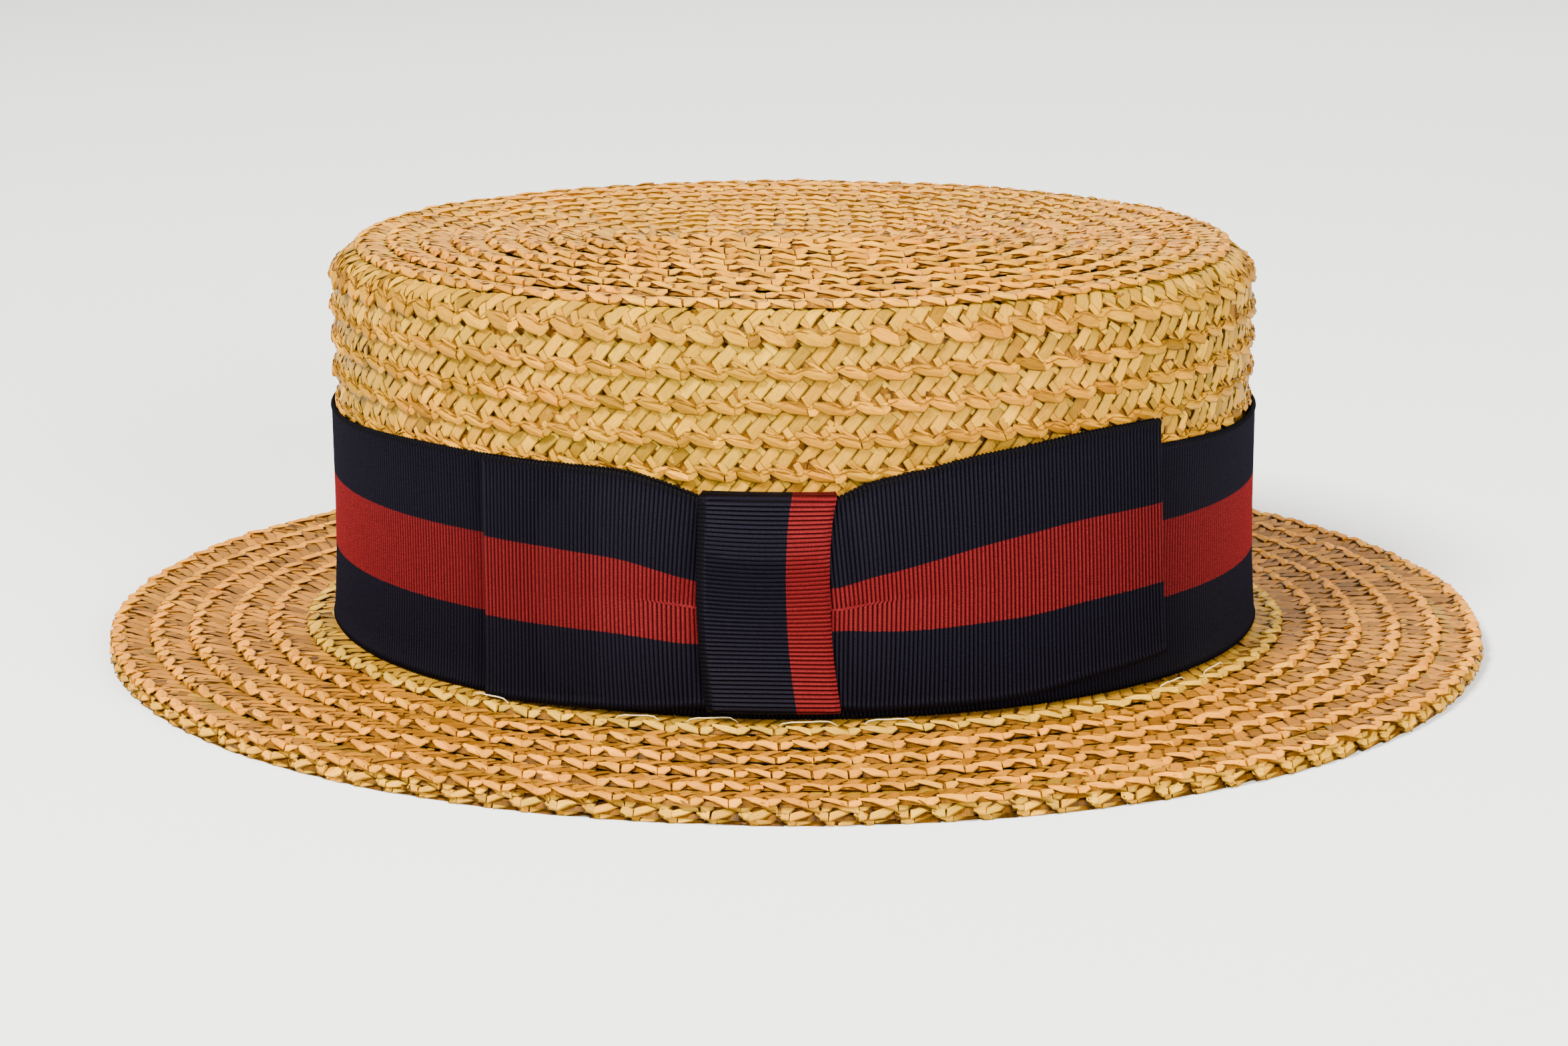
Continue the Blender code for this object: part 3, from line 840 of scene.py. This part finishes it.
def straw_material(name, sun, fresh_more, gloss):
    """Straw that is more or less tanned by the sun, with fibres, darker edges and blemishes."""
    settings = bpy.context.scene.boater_straw
    made, shading = new_material(name)
    grain = bpy.data.node_groups.get("straw_grain") or straw_grain_group()
    run = shading.stored("straw_run")
    fibres = shading.group(grain, Run=run, Fibre=1.0)
    shade, fresh, dark = shading.parts(shading.stored("straw_look"))

    patches = shading.noise(shading.place(), scale=28.0, detail=3.0, roughness=0.6)
    patches = shading.spread(patches, low=0.35, high=0.68)
    sunned = shading.maths("MAXIMUM", shading.maths("MULTIPLY", fresh, -1.0), 0.0)
    tanned = shading.maths("MULTIPLY_ADD", patches, 0.5, sun - 0.25)
    tanned = shading.maths("ADD", tanned, sunned)
    tanned = shading.add("ShaderNodeClamp", {"Value": tanned}).outputs[0]
    colour = shading.blend(tanned, (*settings.gold, 1), (*settings.tan, 1))
    freshness = shading.maths("MULTIPLY", shading.maths("MAXIMUM", fresh, 0.0), fresh_more)
    colour = shading.blend(freshness, colour, (*settings.fresh, 1))

    lightness = shading.maths("MULTIPLY_ADD", shade, 0.86, 0.33)
    # Fibre streaks: the straw's own grain, with painted sheen in the brighter fibres
    grain_and_painted_sheen = shading.spread(fibres["Streak"], low=0.3, high=0.72, to_low=0.62, to_high=1.3)
    lightness = shading.maths("MULTIPLY", lightness, grain_and_painted_sheen)
    # Darker at each straw's long edges: partly its own brown, partly painted shade between straws
    from_middle = shading.maths("ABSOLUTE", shading.parts(run)[1])
    edges = shading.spread(from_middle, low=0.66, high=1.0, to_low=1.0, to_high=0.26)
    lightness = shading.maths("MULTIPLY", lightness, edges)
    # Darker kinds: painted shade on the core, the thread's own brown
    undimmed = shading.maths("SUBTRACT", 1.0, dark)
    lightness = shading.maths("MULTIPLY", lightness, undimmed)
    blemish = shading.spread(fibres["Blemish"], low=0.68, high=0.8, to_low=0.0, to_high=0.5)
    colour = shading.blend(blemish, shading.scaled(colour, lightness), BLEMISH_COLOUR)
    rough = shading.spread(fibres["Streak"], low=0.3, high=0.7, to_low=0.26, to_high=0.56)
    shading.surface(colour, rough, fibres["Height"], strength=0.6, distance=0.00015, gloss=gloss)
    return made


def ribbon_weave_group():
    """The ribbon's ribs, the fine yarn over them, and which of it is the red stripe."""
    shading, given, result = new_group(
        "ribbon_weave", {"Weave": "NodeSocketVector", "Pitch": "NodeSocketFloat"},
        ("Stripe", "Rib", "Yarn"))
    along, across, selvage = shading.parts(given["Weave"])
    fine = shading.vector(shading.maths("MULTIPLY", along, 2.6),
                          shading.maths("MULTIPLY", across, 190.0))
    yarn = shading.noise(fine, scale=1.0, roughness=0.6)
    turns = shading.maths("DIVIDE", along, given["Pitch"])
    wave = shading.maths("COSINE", shading.maths("MULTIPLY", turns, 2 * math.pi))
    # Rib marks the ribs' backs, where the highlight is painted; less of it on the selvage
    ridge = shading.maths("POWER", shading.maths("MULTIPLY_ADD", wave, 0.5, 0.5), 3.0)
    plain = shading.maths("SUBTRACT", 1.0, selvage)
    rib = shading.maths("MULTIPLY", ridge, shading.maths("MULTIPLY_ADD", plain, 0.75, 0.25))
    ragged = shading.maths("MULTIPLY_ADD", yarn, 0.006, -0.003)
    place = shading.maths("ADD", across, ragged)
    stripe = shading.maths("MULTIPLY", shading.maths("GREATER_THAN", place, STRIPE_LOW),
                           shading.maths("LESS_THAN", place, STRIPE_HIGH))
    shading.feed(result.inputs["Stripe"], stripe)
    shading.feed(result.inputs["Rib"], rib)
    shading.feed(result.inputs["Yarn"], yarn)
    return shading.tree


def ribbon_material(name):
    """Ribbed ribbon: navy with a red middle stripe, its ribs lit on top and dark between."""
    settings = bpy.context.scene.boater_ribbon
    made, shading = new_material(name)
    weave = bpy.data.node_groups.get("ribbon_weave") or ribbon_weave_group()
    woven = shading.group(weave, Weave=shading.stored("weave"),
                          Pitch=settings.rib_pitch / MILLIMETRE)
    # Painted highlight on the ribs' backs, painted shade between them, over the ribs' real relief
    between = shading.blend(woven["Stripe"], (*settings.navy, 1), (*settings.red, 1))
    painted_rib_highlight = shading.blend(woven["Stripe"], (*settings.navy_lit, 1), (*settings.red_lit, 1))
    colour = shading.blend(woven["Rib"], between, painted_rib_highlight)
    yarn = shading.spread(woven["Yarn"], low=0.3, high=0.7, to_low=0.72, to_high=1.28)
    shading.surface(shading.scaled(colour, yarn), 0.62, woven["Yarn"], strength=0.6,
                    distance=0.00012, gloss=0.04)
    return made


def ribbon_offset(layer, z):
    """Offset of a layer's middle: the band is layer 0, and each layer lies over the last."""
    reach = RIBBON_WIDTH / 2
    flare = BAND_FLARE * np.maximum(1 - (z - BAND_BASE) / reach, 0) ** 2
    return (layer + 0.5) * RIBBON_THICKNESS + (layer + 1) * CLEARANCE + flare


def front_angles(distance):
    """Angles of the oval after a walk of each distance from the middle of its front."""
    angles, walked = oval_walk(0.0)
    around = walked[-1]
    return np.interp(np.mod(distance, around), walked, angles)


def edge_height(table, share, column):
    """Height of a loop's lower or upper edge."""
    return BAND_BASE + table_value(table, share, column) * RIBBON_WIDTH


def share_past_knot(distance, length):
    """0 from the bow's middle to the knot's edge, then up to 1 at the loop's fold."""
    return np.clip((distance - KNOT_REACH) / (length - KNOT_REACH), 0, 1)


def band_top(distance):
    """The band's upper edge dips under the bow and sinks a little at the sides."""
    left = edge_height(LEFT_LOOP_OUTLINE, share_past_knot(-distance, LEFT_LOOP_LENGTH), 2)
    right = edge_height(RIGHT_LOOP_OUTLINE, share_past_knot(distance, RIGHT_LOOP_LENGTH), 2)
    bow_top = np.where(distance < 0, left, right)
    sunk = SIDE_SINK * smooth_step((np.abs(distance) - SINK_START) / SINK_REACH)
    return np.minimum(BAND_BASE + RIBBON_WIDTH - sunk, bow_top)


def weave_grid(columns, levels, name):
    """A flat grid of ribbon, ready to be laid; columns run along it and levels up its width."""
    deselect_all()
    bpy.ops.mesh.primitive_grid_add(x_subdivisions=columns, y_subdivisions=levels, size=2)
    obj = bpy.context.object
    obj.name = name
    obj.data.name = name
    cells = points_of(obj.data)
    column = np.rint((cells[:, 0] + 1) / 2 * columns).astype(int)
    level = np.rint((cells[:, 1] + 1) / 2 * levels).astype(int)
    return obj, column, level


def at_selvage(share):
    """1 on the woven edges of the ribbon and 0 between them."""
    return np.where((share < SELVAGE) | (share > 1 - SELVAGE), 1.0, 0.0)


def is_outermost(share):
    """Which points lie on the ribbon's very edges."""
    return (share < OUTERMOST) | (share > 1 - OUTERMOST)


def bead(share, turns):
    """How far the ribbon's looped edge stands out past it at each rib."""
    sign = np.where(share > 0.5, 1.0, -1.0)
    round_end = 2 * np.abs(np.cos(math.pi * turns)) - 1
    return np.where(is_outermost(share), sign * BEAD_HEIGHT * round_end, 0.0)


def rib_ridge(turns):
    """1 on the back of each rib and 0 between the ribs."""
    return (0.5 + 0.5 * np.cos(2 * math.pi * turns)) ** RIB_SHARPNESS


def rib_relief(share, turns):
    """How far the ribs' backs stand out, and the beads along the edges."""
    settings = bpy.context.scene.boater_ribbon
    ridge = rib_ridge(turns)
    beads = BEAD_RELIEF[0] + BEAD_RELIEF[1] * ridge
    ribs = settings.rib_relief * (2 * ridge - RIB_MIDDLE)
    relief = np.where(at_selvage(share) > 0.5, beads, ribs)
    return np.where(is_outermost(share), -EDGE_SINK, relief)


def finish_ribbon(obj, made, nodes):
    """Give ribbon its thickness and material, and say what it stands for."""
    solid = obj.modifiers.new("Ribbon thickness", "SOLIDIFY")
    solid.thickness = RIBBON_THICKNESS * RIBBON_BODY
    solid.offset = 0
    apply_modifier(obj, solid)
    finish_piece(obj, made, nodes, smooth_degrees=60)


def lay_band(name):
    """The ribbon round the crown, ribs upright, its looped edges at top and bottom."""
    settings = bpy.context.scene.boater_ribbon
    angles, walked = oval_walk(ribbon_offset(0, np.array([BAND_BASE + RIBBON_WIDTH]))[0])
    around = walked[-1]
    columns = round(around / settings.rib_pitch) * COLUMNS_PER_RIB
    obj, column, level = weave_grid(columns, len(BAND_LEVELS) - 1, name)
    turns = column / COLUMNS_PER_RIB
    share = np.array(BAND_LEVELS)[level]
    angle = np.interp(column / columns * around, walked, angles)
    crown_angles, crown_walked = oval_walk(0.0)
    distance = np.interp(angle, crown_angles, crown_walked)
    distance = np.where(distance > crown_walked[-1] / 2, distance - crown_walked[-1], distance)
    top = band_top(distance - BOW_SHIFT)
    z = BAND_BASE + (top - BAND_BASE) * share + bead(share, turns)
    lay_points(obj.data, angle, ribbon_offset(0, z) + rib_relief(share, turns), z)
    woven = (z - BAND_BASE) / RIBBON_WIDTH
    weave = np.column_stack([turns * settings.rib_pitch / MILLIMETRE, woven, at_selvage(share)])
    write_attribute(obj.data, "weave", weave)
    close_ring(obj)
    return obj


def close_ring(obj):
    """Merge the two ends of a band that goes all the way round."""
    edit_all(obj)
    bpy.ops.mesh.remove_doubles(threshold=MERGE_DISTANCE)
    bpy.ops.mesh.normals_make_consistent(inside=False)
    bpy.ops.object.mode_set(mode="OBJECT")


def woven_share(share, low, high):
    """Share of the ribbon's width in the weave, where its stripe lies from low to high."""
    below = share / low * STRIPE_LOW
    within = STRIPE_LOW + (share - low) / (high - low) * (STRIPE_HIGH - STRIPE_LOW)
    above = STRIPE_HIGH + (share - high) / (1 - high) * (1 - STRIPE_HIGH)
    return np.where(share < low, below, np.where(share < high, within, above))


def lay_loop(name, outline, stripe, length, side, lean):
    """A flat loop of the bow: back leaf on the band, fold at its end, front leaf over it."""
    settings = bpy.context.scene.boater_ribbon
    fold_radius = (RIBBON_THICKNESS + CLEARANCE) / 2
    straight = length - fold_radius - RIBBON_THICKNESS / 2
    bend = math.pi * fold_radius
    total = straight * 2 + bend
    columns = round(total / settings.rib_pitch) * COLUMNS_PER_RIB
    obj, column, level = weave_grid(columns, len(LOOP_LEVELS) - 1, name)
    walk = column / columns * total
    turns = walk / settings.rib_pitch
    share = np.array(LOOP_LEVELS)[level]
    turn = np.clip((walk - straight) / fold_radius, 0, math.pi)
    place = np.where(walk < straight, walk, np.where(
        walk > straight + bend, total - walk, straight + fold_radius * np.sin(turn)))
    layer = 1.5 - np.cos(turn) / 2
    front = smooth_step((walk - straight) / bend)
    from_knot = np.maximum(place - KNOT_REACH, 0)

    healed = FAN_HEALED + (1 - FAN_HEALED) * smooth_step(from_knot / HEAL_REACH)
    lower = share <= CREASE_SHARE
    in_lower = share / CREASE_SHARE
    in_upper = (share - CREASE_SHARE) / (1 - CREASE_SHARE)
    fan = np.where(lower, healed * in_lower, 1 - in_upper)
    place = place + FAN * fan * np.exp(-from_knot / FAN_REACH) * front
    place = place + lean * (0.5 - share) * place / length
    past_knot = share_past_knot(place, length)
    low = edge_height(outline, past_knot, 1)
    high = edge_height(outline, past_knot, 2)
    z = low + (high - low) * share + bead(share, turns)

    lobes = np.sin(math.pi * np.where(lower, in_lower, in_upper))
    swell = (1 - np.exp(-from_knot / CREASE_START)) * np.exp(-from_knot / CREASE_REACH)
    gathered = CREASE_DEPTH * lobes * swell
    offset = ribbon_offset(layer, z) + (gathered + rib_relief(share, turns)) * front
    lay_points(obj.data, front_angles(BOW_SHIFT + side * place), offset, z)
    stripe_low = table_value(stripe, past_knot, 1)
    stripe_high = table_value(stripe, past_knot, 2)
    woven = woven_share(share, stripe_low, stripe_high)
    write_attribute(obj.data, "weave",
                    np.column_stack([walk / MILLIMETRE, woven, at_selvage(share)]))
    if side > 0:
        edit_all(obj)
        bpy.ops.mesh.flip_normals()
        bpy.ops.object.mode_set(mode="OBJECT")
    return obj


def lay_knot(name):
    """The ribbon wrapped over the loops' middle, its ribs level and its stripes upright."""
    settings = bpy.context.scene.boater_ribbon
    reach = CLEARANCE + RIBBON_THICKNESS / 2
    low = edge_height(LEFT_LOOP_OUTLINE, 0, 1) - reach
    high = edge_height(LEFT_LOOP_OUTLINE, 0, 2) + reach
    total = high - low + 2 * KNOT_TUCK
    levels = round(total / settings.rib_pitch) * COLUMNS_PER_KNOT_RIB
    obj, column, level = weave_grid(len(KNOT_LEVELS) - 1, levels, name)
    across = np.array(KNOT_LEVELS)[column]
    climb = level / levels * total - KNOT_TUCK
    turns = climb / settings.rib_pitch
    crown = np.sin(math.pi * across)
    sag = KNOT_SAG * crown * np.sin(SAG_TURN * climb / total + SAG_START)
    z = np.clip(low + climb + sag, low, high)

    tucked = np.clip(np.maximum(-climb, climb - (high - low)), 0, KNOT_TUCK)
    near_end = np.clip(np.minimum(z - low, high - z) / KNOT_CORNER, 0, 1)
    near_side = np.clip(np.minimum(across, 1 - across) * KNOT_WIDTH / KNOT_CORNER, 0, 1)
    rounding = KNOT_CORNER * (1 - np.sqrt(1 - (1 - near_end) ** 2))
    rounding = rounding + KNOT_SIDE_ROUND * (1 - near_side) ** 2
    swell = KNOT_SWELL * crown * near_end
    selvage = np.where(across < KNOT_SELVAGE, 1.0, 0.0)
    ridge = rib_ridge(turns)
    beads = KNOT_BEAD_RELIEF[0] + KNOT_BEAD_RELIEF[1] * ridge
    ribs = settings.rib_relief * KNOT_RELIEF * (2 * ridge - RIB_MIDDLE)
    relief = np.where(selvage > 0.5, beads, ribs)

    share = (z - low) / (high - low)
    left = table_value(KNOT_OUTLINE, share, 1)
    right = table_value(KNOT_OUTLINE, share, 2)
    place = (left + (right - left) * across) * KNOT_WIDTH
    ragged = EDGE_SINK * np.cos(2 * math.pi * turns)
    place = place - np.where(across < OUTERMOST, ragged, 0)
    lay_points(obj.data, front_angles(BOW_SHIFT + place),
               ribbon_offset(KNOT_LAYER, z) - rounding - tucked + swell + relief, z)
    navy = across / KNOT_STRIPE * STRIPE_LOW * NAVY_SHARE
    red = STRIPE_LOW + RED_MARGIN + (across - KNOT_STRIPE)
    woven = np.where(across < KNOT_STRIPE, navy, red)
    write_attribute(obj.data, "weave", np.column_stack([climb / MILLIMETRE, woven, selvage]))
    return obj


def model_stitch():
    """One stitch of thread: a thin cylinder lying along X, cut where it is to bend."""
    deselect_all()
    bpy.ops.mesh.primitive_cylinder_add(vertices=8, radius=0.5, depth=2, end_fill_type="NGON",
                                        rotation=(0, math.pi / 2, 0))
    obj = bpy.context.object
    bpy.ops.object.transform_apply(location=False, rotation=True, scale=False)
    for share in BASTING_CUTS:
        edit_all(obj)
        bpy.ops.mesh.bisect(plane_co=(share, 0, 0), plane_no=(1, 0, 0))
    bpy.ops.object.mode_set(mode="OBJECT")
    return obj


def lay_stitch(model, row):
    """A copy of the stitch laid on the brim, its ends drawn down into the straw."""
    start, end, out_start, out_end = [number * MILLIMETRE for number in row]
    obj = copy_of(model)
    points = points_of(obj.data)
    share = (points[:, 0] + 1) / 2
    drawn = np.abs(points[:, 0]) ** BASTING_BEND
    thin = BASTING_WIDTH * (1 - BASTING_THINNING * drawn)
    sway = BASTING_SWAY * np.sin(math.pi * share * 1.5)
    out = out_start + (out_end - out_start) * share + sway
    angle = front_angles(start + (end - start) * share)
    _, surface, _, _ = brim_path(out)
    z = surface + BASTING_RISE * (1 - drawn) + points[:, 2] * thin - BASTING_DIP * drawn
    lay_points(obj.data, angle, out + points[:, 1] * thin, z)
    return obj


def thread_material():
    """White cotton, twisted, with its twist as faint slanting lines."""
    made, shading = new_material("basting_thread")
    values = {"Vector": shading.place(), "Scale": 900.0, "Distortion": 1.5}
    twist = shading.add("ShaderNodeTexWave", values, bands_direction="DIAGONAL").outputs["Fac"]
    shading.surface(shading.blend(twist, *COTTON_COLOURS), 0.8, twist, strength=0.4,
                    distance=0.0001)
    return made


class HAT_OT_basting(bpy.types.Operator):
    """Sew the white basting stitches that hold the band's foot"""
    bl_idname = "hat.basting"
    bl_label = "Basting stitches"

    def execute(self, context):
        model = model_stitch()
        stitches = join_objects([lay_stitch(model, row) for row in BASTING], "basting_stitches")
        remove_objects([model])
        finish_piece(stitches, thread_material(), [], smooth_degrees=50)
        return {"FINISHED"}


class HAT_OT_crown_tip(bpy.types.Operator):
    """Sew the flat top: rows of plait from the middle out"""
    bl_idname = "hat.crown_tip"
    bl_label = "Crown tip"

    def execute(self, context):
        chance = np.random.default_rng(context.scene.boater_straw.seed)
        edges = equal_rows(0, SIDE_START, TIP_ROW_PITCH)
        rows = sew_flat_rows(crown_path, edges, [TIP_TONE] * (len(edges) - 1), chance)
        made = straw_material("tip_straw", *TIP_FINISH)
        finish_straw(rows, "straw_tip", ["crown_tip"], made)
        return {"FINISHED"}


def side_edges():
    """Free edges of the shoulder's row and of the side's rows below it."""
    root_surface = BRIM_TOP + ROOT_RISE - PLY
    height = TIP_TOP - SHOULDER_RADIUS - root_surface - CLEARANCE
    return equal_rows(SHOULDER_END, SHOULDER_END + height, SIDE_ROW_PITCH)


class HAT_OT_crown_side(bpy.types.Operator):
    """Sew the side: a row round the shoulder, then level rows down to the brim"""
    bl_idname = "hat.crown_side"
    bl_label = "Crown side"

    def execute(self, context):
        chance = np.random.default_rng(context.scene.boater_straw.seed + 1)
        repeat = model_repeat(STRAWS + BACK_STRAWS, "plait repeat")
        plain = model_repeat(straws_of(STRAWS + BACK_STRAWS, "core", "main", "leaf", "back"),
                             "plain repeat")
        ends = side_edges()
        upper = []
        lower = []
        hidden_from = TIP_TOP - (BAND_BASE + RIBBON_WIDTH * COVERED_SHARE)
        for start, end in zip([SIDE_START] + ends, ends):
            drop = PLY * SHOULDER_DROP if start == SIDE_START else PLY
            seen = start - SHOULDER_END + SHOULDER_RADIUS < hidden_from
            row = lay_row(repeat if seen else plain, crown_path, start, end, drop, chance)
            (upper if seen else lower).append(row)
        made = straw_material("side_straw", *SIDE_FINISH)
        finish_straw(upper, "straw_side", ["crown_side"], made)
        finish_straw(lower, "straw_side_under_band", [], made)
        remove_objects([repeat, plain])
        return {"FINISHED"}


class HAT_OT_brim(bpy.types.Operator):
    """Sew the brim: rows from under the crown out to the edge"""
    bl_idname = "hat.brim"
    bl_label = "Brim"

    def execute(self, context):
        chance = np.random.default_rng(context.scene.boater_straw.seed + 2)
        edges = equal_rows(0, BRIM_WIDTH, BRIM_ROW_PITCH)
        tones = [ROOT_TONE] + [BRIM_TONE] * (len(edges) - 2)
        rows = sew_flat_rows(brim_path, edges, tones, chance)
        made = straw_material("brim_straw", *BRIM_FINISH)
        half = len(rows) // 2
        finish_straw(rows[:half], "straw_brim_inner", ["brim"], made)
        finish_straw(rows[half:], "straw_brim_outer", [], made)
        return {"FINISHED"}


def press_on_floor(mesh):
    """Draw what would reach into the floor flat just above it."""
    points = points_of(mesh)
    below = np.minimum(points[:, 2] / FLOOR_GAP - 1, 0)
    points[:, 2] = np.maximum(points[:, 2], FLOOR_GAP) * np.exp(below)
    set_points(mesh, points)


class HAT_OT_brim_edge(bpy.types.Operator):
    """Sew the rows under the brim's edge"""
    bl_idname = "hat.brim_edge"
    bl_label = "Brim edge"

    def execute(self, context):
        chance = np.random.default_rng(context.scene.boater_straw.seed + 3)
        straws = straws_of(FLAT_STRAWS, "core", "main", "leaf")
        back = [mirrored(straw) for straw in straws]
        repeats = [model_repeat(straws, "edge repeat"), model_repeat(back, "turned repeat"),
                   model_repeat(back + list(BACK_STRAWS), "lowest repeat")]
        rows = []
        for repeat, (share, out) in zip(repeats, EDGE_ROWS):
            path = functools.partial(level_path, BRIM_TOP * share)
            row = lay_row(repeat, path, BRIM_WIDTH - EDGE_ROW_WIDTH, BRIM_WIDTH + out, 0.0,
                          chance, EDGE_THICKER, EDGE_TONE, EDGE_ROLL)
            press_on_floor(row.data)
            rows.append(row)
        made = straw_material("edge_straw", *EDGE_FINISH)
        finish_straw(rows, "straw_edge", ["brim_edge"], made)
        remove_objects(repeats)
        return {"FINISHED"}


class HAT_OT_ribbon(bpy.types.Operator):
    """Lay the ribbon band round the crown and tie its bow"""
    bl_idname = "hat.ribbon"
    bl_label = "Ribbon and bow"

    def execute(self, context):
        made = ribbon_material("ribbon")
        finish_ribbon(lay_band("ribbon_band"), made, ["hat_band"])
        left = lay_loop("ribbon_left_loop", LEFT_LOOP_OUTLINE, LEFT_LOOP_STRIPE,
                        LEFT_LOOP_LENGTH, -1, 0.0)
        finish_ribbon(left, made, ["bow_left_loop"])
        right = lay_loop("ribbon_right_loop", RIGHT_LOOP_OUTLINE, RIGHT_LOOP_STRIPE,
                         RIGHT_LOOP_LENGTH - RIGHT_FOLD_BACK, 1, RIGHT_FOLD_LEAN)
        finish_ribbon(right, made, ["bow_right_loop"])
        finish_ribbon(lay_knot("ribbon_knot"), made, ["bow_knot"])
        return {"FINISHED"}


class HAT_OT_stage(bpy.types.Operator):
    """Set up the pale floor, the soft light and the camera"""
    bl_idname = "hat.stage"
    bl_label = "Stage"

    def execute(self, context):
        settings = context.scene.boater_stage
        lay_backdrop(settings)
        for name, place, size, power in LAMPS:
            soft_light(name, place, size, power, settings.light)
        world = bpy.data.worlds.new("studio")
        world.use_nodes = True
        room = world.node_tree.nodes["Background"]
        room.inputs["Color"].default_value = (*settings.light, 1)
        room.inputs["Strength"].default_value = ROOM_LIGHT
        context.scene.world = world
        stand_camera(settings)
        return {"FINISHED"}


def select_edges(obj, wanted):
    """Select the edges whose ends are both wanted."""
    bpy.ops.mesh.select_all(action="DESELECT")
    mesh = bmesh.from_edit_mesh(obj.data)
    for edge in mesh.edges:
        edge.select = all(wanted(vertex.co) for vertex in edge.verts)
    mesh.select_flush_mode()
    bmesh.update_edit_mesh(obj.data)


def lay_backdrop(settings):
    """A sheet of paper on the floor that sweeps up behind the hat."""
    deselect_all()
    bpy.ops.mesh.primitive_plane_add(size=SHEET_SIZE, location=(0, SHEET_MIDDLE, 0))
    sheet = bpy.context.object
    bpy.ops.object.transform_apply(location=True, rotation=False, scale=False)
    sheet.name = "backdrop"
    bpy.ops.object.mode_set(mode="EDIT")
    select_edges(sheet, lambda place: place.y > SHEET_BACK - 0.1)
    bpy.ops.mesh.extrude_region_move(TRANSFORM_OT_translate={"value": (0, 0, SHEET_RISE)})
    select_edges(sheet, lambda place: place.y > SHEET_BACK - 0.1 and place.z < 0.1)
    bpy.ops.mesh.bevel(offset=SHEET_BEND, segments=16)
    bpy.ops.object.mode_set(mode="OBJECT")
    bpy.ops.object.shade_smooth()
    paper, shading = new_material("paper")
    tooth = shading.noise(shading.place(), scale=900.0)
    shading.surface((*settings.paper, 1), 0.85, tooth, strength=0.05, distance=0.0002)
    sheet.data.materials.append(paper)


def soft_light(name, place, size, power, colour):
    """A large square light that faces the hat."""
    lamp = bpy.data.lights.new(name, "AREA")
    lamp.color = colour
    lamp.size = size
    lamp.energy = power
    obj = bpy.data.objects.new(name, lamp)
    obj.location = place
    obj.rotation_euler = (Vector(LAMP_AIM) - Vector(place)).to_track_quat("-Z", "Y").to_euler()
    bpy.context.scene.collection.objects.link(obj)


def stand_camera(settings):
    """The camera at the photograph's viewing angle."""
    camera = bpy.data.cameras.new("camera")
    camera.sensor_fit = "HORIZONTAL"
    camera.sensor_width = 36
    camera.lens = settings.lens
    camera.dof.use_dof = False
    obj = bpy.data.objects.new("camera", camera)
    place = Vector(settings.camera_place)
    back = (place - Vector(settings.camera_aim)).normalized()
    level = Vector((0, 0, 1)).cross(back).normalized()
    upright = back.cross(level)
    roll = settings.camera_roll
    right = level * math.cos(roll) + upright * math.sin(roll)
    up = upright * math.cos(roll) - level * math.sin(roll)
    turned = Matrix((right, up, back)).transposed()
    obj.matrix_world = Matrix.Translation(place) @ turned.to_4x4()
    bpy.context.scene.collection.objects.link(obj)
    bpy.context.scene.camera = obj


class HAT_PT_workshop(bpy.types.Panel):
    """The hat's making, step by step"""
    bl_idname = "HAT_PT_workshop"
    bl_label = "Straw Boater Hat"
    bl_space_type = "VIEW_3D"
    bl_region_type = "UI"
    bl_category = "Hat"

    def draw(self, context):
        column = self.layout.column()
        for settings in (context.scene.boater_straw, context.scene.boater_ribbon,
                         context.scene.boater_stage):
            for name in settings.__annotations__:
                column.prop(settings, name)
        for operator in OPERATORS:
            column.operator(operator.bl_idname)


OPERATORS = (HAT_OT_crown_tip, HAT_OT_crown_side, HAT_OT_brim, HAT_OT_brim_edge, HAT_OT_ribbon,
             HAT_OT_basting, HAT_OT_stage)
SETTINGS = (BoaterStrawSettings, BoaterRibbonSettings, BoaterStageSettings)


def register():
    """Add the hat's settings, operators and panel to Blender."""
    for cls in SETTINGS + OPERATORS + (HAT_PT_workshop,):
        bpy.utils.register_class(cls)
    bpy.types.Scene.boater_straw = bpy.props.PointerProperty(type=BoaterStrawSettings)
    bpy.types.Scene.boater_ribbon = bpy.props.PointerProperty(type=BoaterRibbonSettings)
    bpy.types.Scene.boater_stage = bpy.props.PointerProperty(type=BoaterStageSettings)


def unregister():
    """Take them away again."""
    del bpy.types.Scene.boater_stage
    del bpy.types.Scene.boater_ribbon
    del bpy.types.Scene.boater_straw
    for cls in reversed(SETTINGS + OPERATORS + (HAT_PT_workshop,)):
        bpy.utils.unregister_class(cls)


def main():
    """Make the hat."""
    register()
    bpy.ops.hat.crown_tip()
    bpy.ops.hat.crown_side()
    bpy.ops.hat.brim()
    bpy.ops.hat.brim_edge()
    bpy.ops.hat.ribbon()
    bpy.ops.hat.basting()
    bpy.ops.hat.stage()


if __name__ == "__main__":
    main()
